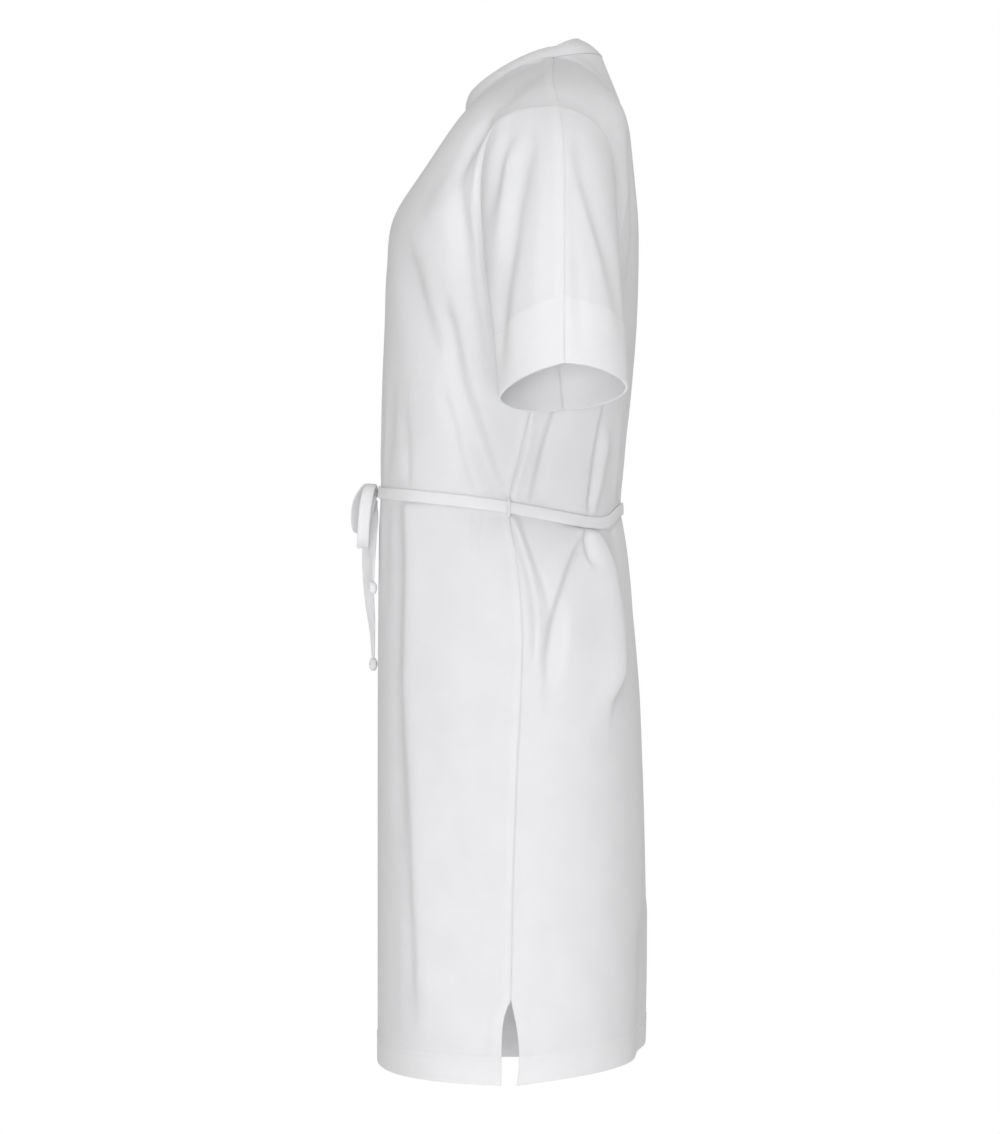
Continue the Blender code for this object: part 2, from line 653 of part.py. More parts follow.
def make_cloth_pieces():
    shares = panel_shares()
    levels = panel_levels()
    front = panel_grid(-1, shares, levels)
    back = panel_grid(1, shares, levels)
    join_seams(front, back)
    pieces = [
        piece("front", front, -BACKWARD, WALL, JERSEY),
        piece("back", back, BACKWARD, WALL, JERSEY),
    ]
    count = len(yoke_reaches())
    for hand, word in ((1, "left"), (-1, "right")):
        edge = -1 if hand > 0 else 0
        for side, half, panel in ((-1, "front", front), (1, "back", back)):
            armhole = panel[-count:, edge][::-1]
            grid = sleeve_grid(side, hand, armhole)
            pieces.append(piece(f"sleeve_{word}_{half}", grid, BACKWARD * side, WALL, JERSEY))
    pieces.append(neckband(front, back, shares))
    share_seam_normals(pieces)
    return pieces


def join_seams(front, back):
    """Both panels take the same points along each side seam, down to the slit."""
    levels = panel_levels()
    sewn = (levels >= SLIT_TOP_Z) & (levels <= UNDERARM_Z)
    for j in (0, -1):
        middle = (front[sewn, j] + back[sewn, j]) / 2
        front[sewn, j] = middle
        back[sewn, j] = middle


def neckband(front, back, shares):
    """A band standing on the neck seam, leaning in as it goes round to the back."""
    inside = np.abs(shares) <= NECK_SHARE
    seam = np.concatenate([front[-1, inside], back[-1, inside][::-1][1:]])
    turn_front = shares[inside] / NECK_SHARE * math.pi / 2
    turn = np.concatenate([turn_front, (math.pi - turn_front[::-1])[1:]])
    ahead = np.clip(np.cos(turn), 0, None)
    behind = np.clip(-np.cos(turn), 0, None)
    side_y, side_z = BAND_SIDE
    y = side_y + (BAND_FRONT[0] - side_y) * ahead + (BAND_BACK[0] - side_y) * behind
    z = side_z + (BAND_FRONT[1] - side_z) * ahead**1.5 + (BAND_BACK[1] - side_z) * behind
    top = np.stack([BAND_HALF_WIDTH * np.sin(turn), y, z], -1)
    swell_way = np.stack([np.sin(turn), -np.cos(turn), np.full(len(turn), SWELL_UP)], -1)
    rows = []
    for share in BAND_HEIGHTS:
        swell = BAND_SWELL * math.sin(math.pi * share)
        rows.append(seam * (1 - share) + top * share + swell_way * swell)
    points = np.array(rows)
    outward = points - points.mean(axis=(0, 1))
    return piece("neckband", points, outward, BAND_WALL, JERSEY, closed=True)


def level_row(level):
    return int(np.argmin(np.abs(panel_levels() - level)))


def round_waist(front, back, row):
    """One row of both panels, from the right side round the front and back again."""
    return np.concatenate([front[row], back[row, ::-1][1:]])


def make_belt(front, back):
    """The flat belt, made from the panels' own points moved out."""
    low = level_row(BELT_BASE_Z - BELT_WIDTH / 2)
    high = level_row(BELT_BASE_Z + BELT_WIDTH / 2)
    facing = sum(round_waist(front.normals, back.normals, row) for row in (low, high))
    facing /= np.linalg.norm(facing, axis=-1, keepdims=True)
    normals = np.stack([facing, facing])
    edges = np.stack([round_waist(front.points, back.points, row) for row in (low, high)])
    points = edges + normals * (BELT_GAP + BELT_THICKNESS)
    make_shell(Piece("belt", points, normals, BELT_THICKNESS, RIBBON, True))
    return points


def make_belt_loop(front, hand, name):
    """A thread loop that holds the belt at a side seam."""
    column_index = -1 if hand > 0 else 0
    low = level_row(BELT_BASE_Z - BELT_WIDTH / 2)
    high = level_row(BELT_BASE_Z + BELT_WIDTH / 2)
    seam = front.points[:, column_index]
    normal = front.normals[low, column_index] + front.normals[high, column_index]
    normal = normal / np.linalg.norm(normal)
    near = BELT_GAP + LOOP_THICKNESS
    far = near + BELT_THICKNESS + BELT_GAP
    path = [
        (seam[low] + seam[low - 1]) / 2 + normal * near,
        seam[low] + normal * far,
        seam[high] + normal * far,
        (seam[high] + seam[high + 1]) / 2 + normal * near,
    ]
    across = np.cross(normal, (0.0, 0.0, 1.0)) * LOOP_WIDTH / 2
    points = np.stack([np.array(path) - across, np.array(path) + across], axis=1)
    make_shell(piece(name, points, np.tile(normal, (4, 2, 1)), LOOP_THICKNESS, RIBBON))


def ribbon(name, path, facings, width, steps):
    """A flat strip along a smooth path; facings are the directions of its width."""
    path = np.array(path)
    knots = np.concatenate([[0.0], np.cumsum(np.linalg.norm(np.diff(path, axis=0), axis=-1))])
    at = np.linspace(0, 1, steps)
    middle = through(knots / knots[-1], path, at)
    facing = through(np.linspace(0, 1, len(facings)), facings, at)
    ahead = np.gradient(middle, axis=0)
    ahead /= np.linalg.norm(ahead, axis=-1, keepdims=True)
    facing = facing - np.sum(facing * ahead, axis=-1, keepdims=True) * ahead
    facing /= np.linalg.norm(facing, axis=-1, keepdims=True)
    normal = np.cross(ahead, facing)
    widths = np.asarray(width)[..., None] if np.ndim(width) else width
    edges = np.stack([middle - facing * widths / 2, middle + facing * widths / 2], axis=1)
    normals = np.stack([normal, normal], axis=1)
    points = edges + normals * RIBBON_THICKNESS / 2
    make_shell(Piece(name, points, normals, RIBBON_THICKNESS, RIBBON, False))


def make_knot(name, centre, size):
    """A pulled-tight knot: a rounded block."""
    knot = bmesh.new()
    bmesh.ops.create_cube(knot, size=1.0)
    bmesh.ops.bevel(
        knot,
        geom=list(knot.edges),
        offset=KNOT_ROUNDING,
        offset_type="OFFSET",
        segments=2,
        profile=0.5,
        affect="EDGES",
        material=-1,
    )
    bmesh.ops.scale(knot, vec=size, verts=knot.verts)
    bmesh.ops.translate(knot, vec=centre, verts=knot.verts)
    mesh = bpy.data.meshes.new(name)
    knot.to_mesh(mesh)
    knot.free()
    new_object(name, mesh, RIBBON)


def make_bow(belt_front_y):
    """The knot on the belt with two drooping loops and two tails, each ending in a knot."""
    knot_y = belt_front_y - SEAM_GAP - KNOT_SIZE[1] / 2
    knot_z = BELT_LINE[0].left
    make_knot("bow_knot", (0.0, knot_y, knot_z), KNOT_SIZE)
    side_x = KNOT_SIZE[0] / 2 + SEAM_GAP
    for name, route, facings in (
        ("bow_loop_left", LEFT_LOOP, [(0.0, 1.0, 0.0)] * 2),
        ("bow_loop_right", RIGHT_LOOP, [(-0.65, 0.75, 0.0)] * 2),
    ):
        hand = math.copysign(1.0, route[0][0])
        out = [hand * side_x, hand * (side_x + STRAIGHT_OUT)]
        start = [(x, knot_y, knot_z + HALF_SPREAD) for x in out]
        end = [(x, knot_y, knot_z - HALF_SPREAD) for x in out[::-1]]
        ribbon(name, [*start, *route, *end], facings, BELT_WIDTH, RIBBON_STEPS)
    under_z = knot_z - KNOT_SIZE[2] / 2 - SEAM_GAP
    for name, x, tail, facings in (
        ("tie_tail_long", -TAIL_SPREAD, LONG_TAIL, LONG_FACINGS),
        ("tie_tail_short", TAIL_SPREAD, SHORT_TAIL, SHORT_FACINGS),
    ):
        start = [(x, knot_y, z) for z in (under_z, under_z - STRAIGHT_OUT)]
        ribbon(name, [*start, *tail], facings, BELT_WIDTH * TAPER, len(TAPER))
    drop = END_KNOT_SIZE[2] / 2 + SEAM_GAP
    for name, tail in (("end_knot_long", LONG_TAIL), ("end_knot_short", SHORT_TAIL)):
        x, y, z = tail[-1]
        make_knot(name, (x, y, z - drop), END_KNOT_SIZE)


def clear_scene():
    for body in list(bpy.data.objects):
        bpy.data.objects.remove(body, do_unlink=True)


clear_scene()
COLLECTION = bpy.data.collections.new("dress")
bpy.context.scene.collection.children.link(COLLECTION)
PIECES = {cloth.name: cloth for cloth in make_cloth_pieces()}
for cloth in PIECES.values():
    make_shell(cloth)
BELT = make_belt(PIECES["front"], PIECES["back"])
make_belt_loop(PIECES["front"], 1, "belt_loop_left")
make_belt_loop(PIECES["front"], -1, "belt_loop_right")
make_bow(BELT[..., 1].min())
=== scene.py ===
# %% [markdown]
# A knee-length jersey dress, worn shape, with a narrow tie belt.
# The solid frame holds the panels as plain walls. This lesson sews the finer cloth over
# them: the same measured surface with its folds, hems, seams and stitches.

# %% Load the frame
import math
from collections import namedtuple

import bmesh
import bpy
import numpy as np
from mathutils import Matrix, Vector


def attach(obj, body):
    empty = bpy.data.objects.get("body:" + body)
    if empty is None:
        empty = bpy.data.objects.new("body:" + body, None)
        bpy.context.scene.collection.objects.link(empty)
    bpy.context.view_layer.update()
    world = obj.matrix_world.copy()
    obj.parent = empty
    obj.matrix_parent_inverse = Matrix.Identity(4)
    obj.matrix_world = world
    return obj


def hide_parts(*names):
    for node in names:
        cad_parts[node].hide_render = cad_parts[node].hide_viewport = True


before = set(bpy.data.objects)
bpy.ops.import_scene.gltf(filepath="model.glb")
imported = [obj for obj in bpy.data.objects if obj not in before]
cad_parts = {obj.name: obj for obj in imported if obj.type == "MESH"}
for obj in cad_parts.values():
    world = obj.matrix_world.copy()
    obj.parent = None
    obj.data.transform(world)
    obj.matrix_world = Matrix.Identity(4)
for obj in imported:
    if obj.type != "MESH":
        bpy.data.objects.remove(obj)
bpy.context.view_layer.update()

# %% [markdown]
# The camera stands level, a little below the dress's waist and four metres to the wearer's
# left, with a long lens. A level camera keeps the side edges upright, as a studio picture
# does, where a tilted one would make them lean.

# %% Camera
IMAGE_WIDTH = 1000
PIXELS_PER_METRE = 1067
CAMERA_DISTANCE = 4.05
CAMERA_Y = -0.0486
CAMERA_Z = -0.467
SENSOR = 36.0
UPRIGHT = math.radians(90)

camera_data = bpy.data.cameras.new("studio_camera")
camera_data.sensor_fit = "HORIZONTAL"
camera_data.sensor_width = SENSOR
camera_data.lens = PIXELS_PER_METRE * CAMERA_DISTANCE / IMAGE_WIDTH * SENSOR
camera = bpy.data.objects.new("studio_camera", camera_data)
camera.location = (CAMERA_DISTANCE, CAMERA_Y, CAMERA_Z)
camera.rotation_euler = (UPRIGHT, 0.0, UPRIGHT)
bpy.context.scene.collection.objects.link(camera)
bpy.context.scene.camera = camera
print("lens", round(camera_data.lens, 1), "mm")

# %% [markdown]
# White cloth on white needs soft light that comes mostly from the camera's side, so that
# the cloth turns a little darker where it rounds away. The camera sees a white backdrop,
# and the cloth gets only a share of its light. The backdrop alone would light every fold
# from all sides and flatten it, so soft discs carry the rest.

# %% Light
AMBIENT = 0.36
LIGHT_TARGET = Vector((0.0, -0.04, -0.45))
Lamp = namedtuple("Lamp", "name place size power")
LAMPS = [
    Lamp("key_soft", (3.6, -0.8, -0.6), 1.2, 37),
    Lamp("camera_fill", (3.8, 0.3, -1.1), 1.0, 17),
    Lamp("front_soft", (-0.6, -3.4, 0.0), 1.8, 15),
    Lamp("back_soft", (-1.0, 3.2, 0.6), 1.8, 20),
    Lamp("low_soft", (2.4, 0.1, -1.30), 1.4, 9),
    Lamp("top_soft", (2.2, 0.4, 1.9), 1.6, 25),
]


def soft_light(lamp):
    disk = bpy.data.lights.new(lamp.name, "AREA")
    disk.shape = "DISK"
    disk.size = lamp.size
    disk.energy = lamp.power
    holder = bpy.data.objects.new(lamp.name, disk)
    holder.location = lamp.place
    toward = LIGHT_TARGET - Vector(lamp.place)
    holder.rotation_euler = toward.to_track_quat("-Z", "Y").to_euler()
    bpy.context.scene.collection.objects.link(holder)


def studio_world(ambient):
    world = bpy.data.worlds.new("studio_white")
    world.use_nodes = True
    tree = world.node_tree
    shown = tree.nodes["Background"]
    shown.inputs["Color"].default_value = (1.0, 1.0, 1.0, 1.0)
    shown.inputs["Strength"].default_value = 1.0
    lit = tree.nodes.new("ShaderNodeBackground")
    lit.inputs["Color"].default_value = (1.0, 1.0, 1.0, 1.0)
    lit.inputs["Strength"].default_value = ambient
    rays = tree.nodes.new("ShaderNodeLightPath")
    mix = tree.nodes.new("ShaderNodeMixShader")
    tree.links.new(rays.outputs["Is Camera Ray"], mix.inputs["Fac"])
    tree.links.new(lit.outputs["Background"], mix.inputs[1])
    tree.links.new(shown.outputs["Background"], mix.inputs[2])
    tree.links.new(mix.outputs["Shader"], tree.nodes["World Output"].inputs["Surface"])
    bpy.context.scene.world = world


studio_world(AMBIENT)
for lamp in LAMPS:
    soft_light(lamp)
bpy.context.scene.view_settings.view_transform = "Standard"
print("lamps", [lamp.name for lamp in LAMPS])

# %% [markdown]
# A pale disc is the floor, well below the hem, because the dress hangs at the height of
# a wearer.

# %% Floor
FLOOR_Z = -1.40
FLOOR_RADIUS = 2.8
FLOOR_GREY = (0.86, 0.86, 0.86)


def plain_material(name, colour, roughness):
    material = bpy.data.materials.new(name)
    material.use_nodes = True
    shader = material.node_tree.nodes["Principled BSDF"]
    shader.inputs["Base Color"].default_value = (*colour, 1.0)
    shader.inputs["Roughness"].default_value = roughness
    return material


disc = bmesh.new()
bmesh.ops.create_circle(disc, cap_ends=True, segments=96, radius=FLOOR_RADIUS)
bmesh.ops.translate(disc, verts=disc.verts, vec=(0.0, 0.0, FLOOR_Z))
floor_mesh = bpy.data.meshes.new("pale_floor")
disc.to_mesh(floor_mesh)
disc.free()
floor = bpy.data.objects.new("pale_floor", floor_mesh)
floor_mesh.materials.append(plain_material("pale_floor", FLOOR_GREY, 0.7))
bpy.context.scene.collection.objects.link(floor)
print("floor at", FLOOR_Z, "m")

# %% [markdown]
# Heavy cotton jersey looks matt, with fine upright ribs of stitches called wales about
# 0.9 mm apart and a little slub. A wave texture on the cloth's own UV map, which is in
# metres, makes the wales follow each panel. A picture of knitted cloth would do too, but a
# wave stays sharp at any size and needs no file. Doubled cloth, as in hems, lets less
# light through, so it shows a touch whiter: an attribute named `doubled` carries that.

# %% Jersey material
WALE_SPACING = 0.0009
CLOTH_WHITE = (0.80, 0.80, 0.815)
DOUBLED_WHITE = (0.822, 0.822, 0.835)
SLUB_SHARE = 0.7
CLOUD_RANGE = {"From Min": 0.3, "From Max": 0.7, "To Min": 0.965, "To Max": 1.0}
SOFT_COTTON = {
    "Roughness": 0.92,
    "Specular IOR Level": 0.25,
    "Subsurface Weight": 0.5,
    "Subsurface Radius": (1.0, 1.0, 1.0),
    "Subsurface Scale": 0.004,
    "Sheen Weight": 0.12,
    "Sheen Roughness": 0.6,
}


def jersey(name, single, double, bump):
    """A knitted white that turns from its single to its double tone where cloth is doubled."""
    material = bpy.data.materials.new(name)
    material.use_nodes = True
    nodes = material.node_tree.nodes

    def node(kind, values=None, **settings):
        made = nodes.new(f"ShaderNode{kind}")
        for setting, value in settings.items():
            setattr(made, setting, value)
        for socket, value in (values or {}).items():
            made.inputs[socket].default_value = value
        return made

    def link(source, output, target, socket):
        material.node_tree.links.new(source.outputs[output], target.inputs[socket])

    shader = nodes["Principled BSDF"]
    shader.subsurface_method = "RANDOM_WALK"
    for socket, value in SOFT_COTTON.items():
        shader.inputs[socket].default_value = value
    waves = {"Scale": math.pi / WALE_SPACING / 10, "Distortion": 0.6, "Detail": 1.0}
    wales = node("TexWave", waves, bands_direction="X")
    slub = node("TexNoise", {"Scale": 420, "Detail": 4})
    cloud = node("TexNoise", {"Scale": 26, "Detail": 3})
    place = node("TexCoord")
    link(node("UVMap", uv_map="cloth"), "UV", wales, "Vector")
    link(place, "Object", slub, "Vector")
    link(place, "Object", cloud, "Vector")
    tone = node("Mix", {"A": (*single, 1.0), "B": (*double, 1.0)}, data_type="RGBA")
    link(node("Attribute", attribute_name="doubled"), "Fac", tone, "Factor")
    shade = node("MapRange", CLOUD_RANGE)
    mottle = node("Mix", {"Factor": 1.0}, data_type="RGBA", blend_type="MULTIPLY")
    link(cloud, "Fac", shade, "Value")
    link(tone, "Result", mottle, "A")
    link(shade, "Result", mottle, "B")
    link(mottle, "Result", shader, "Base Color")
    knit = node("Math", {1: SLUB_SHARE}, operation="MULTIPLY_ADD")
    link(slub, "Fac", knit, 0)
    link(wales, "Fac", knit, 2)
    relief = node("Bump", {"Strength": bump, "Distance": 0.0003})
    link(knit, "Value", relief, "Height")
    link(relief, "Normal", shader, "Normal")
    return material


JERSEY = jersey("jersey", CLOTH_WHITE, DOUBLED_WHITE, bump=0.35)
TIE_JERSEY = jersey("tie_jersey", DOUBLED_WHITE, DOUBLED_WHITE, bump=0.3)
print("materials", JERSEY.name, TIE_JERSEY.name)

# %% [markdown]
# Every panel is one smooth surface worked out from a few measured sections: how wide and
# how deep the body is at each height, and where its side seam runs. A smooth curve goes
# through the sections, as a tailor's curve goes through marked points. A cloth simulation
# could find a shape as well, but it would not land on this outline.

# %% Sizes of the dress
UNDERARM_Z = -0.243
HEM_Z = -0.929
HIP_Z = -0.60
HEM_RISE_FROM_Z = -0.80
HEM_RISE_FRONT = 0.0035
HEM_RISE_BACK = 0.0150
SLIT_TOP_Z = -0.854
SLIT_FRONT_SHIFT = 0.0085
SLIT_FRONT_SPREAD = 0.012
SLIT_BACK_SHIFT = 0.0075
SLIT_BACK_SPREAD = 0.075
SLIT_BACK_TURN = 2.4
SQUARENESS = 0.07
NECK_HALF_WIDTH = 0.090
NECK_FRONT_Y = -0.0804
NECK_FRONT_DROP = (0.010, 0.0315)
NECK_BACK_Y = 0.047
NECK_BACK_RISE = 0.010
NECK_SHARE = 0.46
TOP_REACH = 0.235
WALL = 0.0018
SEAM_GAP = 0.0003
EDGE_GAP = 0.00002
HEM_DEPTH = 0.026
CUFF_DEPTH = 0.060
BELT_BASE_Z = -0.413
BELT_WIDTH = 0.011
BELT_THICKNESS = 0.0022
BELT_GAP = 0.0003
BELT_CINCH = 0.0045
CINCH_IN_DEPTH = 0.25
CINCH_SPREAD = 0.020
BELT_SWAY_SPREAD = 0.10
RIGHT_TWIST = 0.020
TWIST_FROM_Z = -0.60
RIGHT_HEM_DROP = 0.020
DROP_FROM_Z = -0.70
DROP_ACROSS = (0.1, 0.9)
RIGHT_SLIT_SHARE = 0.12

Section = namedtuple("Section", "z half_width front_y back_y seam_y")
SECTIONS = [
    Section(-0.940, 0.2010, -0.1630, 0.0870, -0.0390),
    Section(-0.854, 0.2000, -0.1630, 0.0880, -0.0388),
    Section(-0.750, 0.1975, -0.1630, 0.0872, -0.0370),
    Section(-0.650, 0.1940, -0.1630, 0.0845, -0.0335),
    Section(-0.580, 0.1890, -0.1629, 0.0815, -0.0300),
    Section(-0.520, 0.1820, -0.1626, 0.0765, -0.0290),
    Section(-0.460, 0.1710, -0.1620, 0.0705, -0.0340),
    Section(-0.413, 0.1620, -0.1612, 0.0655, -0.0410),
    Section(-0.360, 0.1660, -0.1600, 0.0686, -0.0300),
    Section(-0.300, 0.1745, -0.1588, 0.0745, -0.0150),
    Section(-0.243, 0.1845, -0.1566, 0.0790, -0.0020),
    Section(-0.180, 0.1900, -0.1544, 0.0808, 0.0060),
]
Yoke = namedtuple("Yoke", "reach centre neck shoulder armhole")
FRONT_YOKE = [
    Yoke(0.050, (0.0, -0.1546, -0.190), (0.127, -0.1320, -0.192),
         (0.1690, -0.0915, -0.198), (0.1795, -0.0460, -0.205)),
    Yoke(0.120, (0.0, -0.1443, -0.133), (0.124, -0.1220, -0.126),
         (0.1660, -0.0970, -0.123), (0.1900, -0.0655, -0.125)),
    Yoke(0.175, (0.0, -0.1046, -0.083), (0.109, -0.0800, -0.050),
         (0.1620, -0.0700, -0.056), (0.2050, -0.0504, -0.0705)),
]
BACK_YOKE = [
    Yoke(0.050, (0.0, 0.0808, -0.185), (0.127, 0.0715, -0.190),
         (0.1690, 0.0580, -0.198), (0.1800, 0.0400, -0.205)),
    Yoke(0.120, (0.0, 0.0786, -0.125), (0.124, 0.0730, -0.122),
         (0.1670, 0.0670, -0.120), (0.1900, 0.0550, -0.127)),
    Yoke(0.175, (0.0, 0.0690, -0.052), (0.108, 0.0620, -0.046),
         (0.1640, 0.0580, -0.053), (0.2065, 0.0435, -0.080)),
]
SHOULDER_LINE = [
    (0.090, 0.0, 0.0),
    (0.140, -0.0010, -0.0145),
    (0.190, -0.0015, -0.0350),
    (0.225, 0.0036, -0.0590),
]
BeltHeight = namedtuple("BeltHeight", "turn left right")
BELT_LINE = [
    BeltHeight(0, -0.3965, -0.3965),
    BeltHeight(50, -0.4030, -0.4040),
    BeltHeight(90, -0.4134, -0.4150),
    BeltHeight(110, -0.4202, -0.4205),
    BeltHeight(130, -0.4265, -0.4240),
    BeltHeight(140, -0.4268, -0.4235),
    BeltHeight(156, -0.4165, -0.4160),
    BeltHeight(180, -0.4120, -0.4120),
]

# %% [markdown]
# Two kinds of curve are used all through this lesson. One runs smoothly through a row of
# marked points, and the other is an even step from 0 to 1. Blender's own curve objects
# could do this, but plain numbers can be measured and shared between pieces.

# %% Curves through marked points


def bend(start, leaving, end, arriving, reach, t):
    """A curve from start to end that leaves and arrives in the given directions."""
    return (
        (2 * t**3 - 3 * t**2 + 1) * start
        + (t**3 - 2 * t**2 + t) * reach * leaving
        + (3 * t**2 - 2 * t**3) * end
        + (t**3 - t**2) * reach * arriving
    )


def through(knots, values, at):
    """A smooth curve through the values, one for each knot, read at the given places."""
    knots = np.asarray(knots, float)
    values = np.asarray(values, float)
    at = np.asarray(at, float)
    steps = np.diff(knots)
    shape = (-1,) + (1,) * (values.ndim - 1)
    slopes = np.diff(values, axis=0) / steps.reshape(shape)
    tangents = np.empty_like(values)
    tangents[0] = slopes[0]
    tangents[-1] = slopes[-1]
    before = steps[:-1].reshape(shape)
    after = steps[1:].reshape(shape)
    tangents[1:-1] = (after * slopes[:-1] + before * slopes[1:]) / (before + after)
    index = np.clip(np.searchsorted(knots, at, side="right") - 1, 0, len(steps) - 1)
    step = steps[index]
    t = np.clip((at - knots[index]) / step, 0.0, 1.0)
    wide = t.shape + (1,) * (values.ndim - 1)
    ahead = index + 1
    return bend(
        values[index], tangents[index], values[ahead], tangents[ahead], step.reshape(wide), t.reshape(wide)
    )


def smooth_step(low, high, value):
    """An even step from 0 at low to 1 at high."""
    t = np.clip((value - low) / (high - low), 0.0, 1.0)
    return t * t * (3 - 2 * t)


def column(rows, name):
    """One named column of a table as a list."""
    return [getattr(row, name) for row in rows]


def read(rows, name, at):
    """One column of a table, read smoothly at the given places of its first column."""
    return through([row[0] for row in rows], column(rows, name), at)


print("waist half width", read(SECTIONS, "half_width", BELT_BASE_Z))

# %% [markdown]
# Below the arms the dress is a tube. Each height gives a rounded section, and the front
# and the back take half of it each, up to the side seams. The slits at the hem open where
# both halves stop a little short of the seam line. On the right the hem hangs a little
# lower and the seam swings to the back.

# %% The tube of the body


def belt_height(side, u):
    """The belt's height round the waist, from 0 degrees in front to 180 behind."""
    turn = np.abs(u) * 90 if side < 0 else 180 - np.abs(u) * 90
    return np.where(np.asarray(u) > 0, read(BELT_LINE, "left", turn), read(BELT_LINE, "right", turn))


def body_point(side, u, level):
    """A point of the tube: u runs from -1 at the right side seam to 1 at the left one."""
    u, level = np.broadcast_arrays(np.asarray(u, float), np.asarray(level, float))
    near_belt = np.exp(-(((level - BELT_BASE_Z) / BELT_SWAY_SPREAD) ** 2))
    z = level + (belt_height(side, u) - BELT_BASE_Z) * near_belt
    lift = (HEM_RISE_FRONT if side < 0 else HEM_RISE_BACK) * np.cos(u * math.pi / 2)
    z = z + lift * smooth_step(HEM_RISE_FROM_Z, HEM_Z, level)
    to_the_right = smooth_step(*DROP_ACROSS, -u)
    z = z - RIGHT_HEM_DROP * to_the_right * smooth_step(DROP_FROM_Z, HEM_Z, level)
    seam = read(SECTIONS, "seam_y", level)
    twist = np.where(u < 0, RIGHT_TWIST * smooth_step(TWIST_FROM_Z, HEM_Z, level), 0.0)
    seam = seam + twist * np.abs(u)
    far = read(SECTIONS, "front_y" if side < 0 else "back_y", level)
    width = read(SECTIONS, "half_width", level)
    below = np.clip(SLIT_TOP_Z - level, 0.0, None)
    if side < 0:
        shift = SLIT_FRONT_SHIFT * (1 - np.exp(-below / SLIT_FRONT_SPREAD))
    else:
        shift = SLIT_BACK_SHIFT * np.sin(np.clip(below / SLIT_BACK_SPREAD, 0, 1) * SLIT_BACK_TURN)
    shift = np.where(u < 0, shift * RIGHT_SLIT_SHARE, shift)
    angle = u * (math.pi / 2 - shift / np.abs(far - seam))
    round_out = 1 + SQUARENESS * np.sin(2 * angle) ** 2
    cinch = BELT_CINCH * np.exp(-(((level - BELT_BASE_Z) / CINCH_SPREAD) ** 2))
    x = (width - cinch) * np.sin(angle) * round_out
    depth = far - seam - np.sign(far - seam) * cinch * CINCH_IN_DEPTH
    y = seam + depth * np.cos(angle) * round_out
    return np.stack([x, y, z], axis=-1)


print("left hem corner", body_point(-1, 1.0, HEM_Z).round(3))

# %% [markdown]
# Above the arms each panel closes over the shoulder. A few rows of marked points stand
# between the underarm and the shoulder seam, and the surface runs smoothly through them.
# The last row is the neck curve in the middle and the shoulder seams at its ends. Points
# are chosen here and not sections, because a shoulder has no round cross section.

# %% The yoke
BELOW_UNDERARM = 0.057
BEYOND_TOP = 0.06
STRAIGHT_ON = 0.6
AIM_TURNS = (0.24, 0.48)


def mirrored(points, u):
    """A row of marked points from the middle to the left, carried on to the right side."""
    knots = [-1, -(1 + NECK_SHARE) / 2, -NECK_SHARE, 0, NECK_SHARE, (1 + NECK_SHARE) / 2, 1]
    points = np.array(points)
    return through(knots, np.concatenate([points[:0:-1] * (-1, 1, 1), points]), u)


def neck_point(side, u):
    """A point of the neck seam, in front for side -1 and behind for side 1."""
    turn = u / NECK_SHARE * math.pi / 2
    across = NECK_HALF_WIDTH * np.sin(turn)
    ahead = np.cos(turn)
    if side < 0:
        drop = NECK_FRONT_DROP[0] * ahead + NECK_FRONT_DROP[1] * ahead**2
        return np.stack([across, NECK_FRONT_Y * ahead, -drop], -1)
    return np.stack([across, NECK_BACK_Y * ahead, NECK_BACK_RISE * ahead], -1)


def top_row(side, shares):
    neck = neck_point(side, np.clip(shares, -NECK_SHARE, NECK_SHARE))
    knots = np.linspace(NECK_SHARE, 1, len(SHOULDER_LINE))
    shoulder = through(knots, SHOULDER_LINE, np.abs(shares))
    shoulder[:, 0] *= np.sign(shares)
    return np.where(np.abs(shares)[:, None] <= NECK_SHARE, neck, shoulder)


def yoke_grid(side, shares, reaches):
    """Rows of a yoke. Over the top edge they aim straight on at the neck and, at the
    shoulder, towards the other panel, so that both meet there without a crease."""
    yoke = FRONT_YOKE if side < 0 else BACK_YOKE
    other = BACK_YOKE if side < 0 else FRONT_YOKE
    below = body_point(side, shares, UNDERARM_Z - BELOW_UNDERARM)
    rows = [below, body_point(side, shares, UNDERARM_Z)]
    rows += [mirrored(row[1:], shares) for row in yoke]
    top = top_row(side, shares)
    straight = top + (top - rows[-1]) * STRAIGHT_ON
    beyond = mirrored(other[-1][1:], shares)
    share = smooth_step(*AIM_TURNS, np.abs(shares))[:, None]
    rows += [top, straight * (1 - share) + beyond * share]
    knots = [-BELOW_UNDERARM, 0.0] + column(yoke, "reach") + [TOP_REACH, TOP_REACH + BEYOND_TOP]
    return through(knots, np.stack(rows), reaches)


def panel_surface(side, shares, levels):
    low = levels[levels <= UNDERARM_Z]
    high = levels[levels > UNDERARM_Z] - UNDERARM_Z
    tube = body_point(side, shares[None, :], low[:, None])
    return np.concatenate([tube, yoke_grid(side, shares, high)])


print("top of the front at the neck", neck_point(-1, 0.0).round(3))

# %% [markdown]
# Cloth that is tied in at the waist has more width than the belt leaves room for. It
# breaks into folds above and below the belt, deepest behind the side seams. Each table
# holds the folds seen from one side, in tenths of a millimetre. A row gives a fold's width
# before and after its crest, its height, negative for a trough, and its path from the top
# down as pairs of a place across and a height. Folds could be sculpted, but a table keeps
# each one where it is wanted and easy to change.

# %% Folds
TENTHS_IN_A_METRE = 10_000
FADE_SHARE = 0.3
LONGEST_FADE = 0.03
Fold = namedtuple("Fold", "before after rise path")


def in_metres(rows):
    """The rows of a table as folds, turned into metres."""
    return [Fold(*(np.array(part) / TENTHS_IN_A_METRE for part in row)) for row in rows]


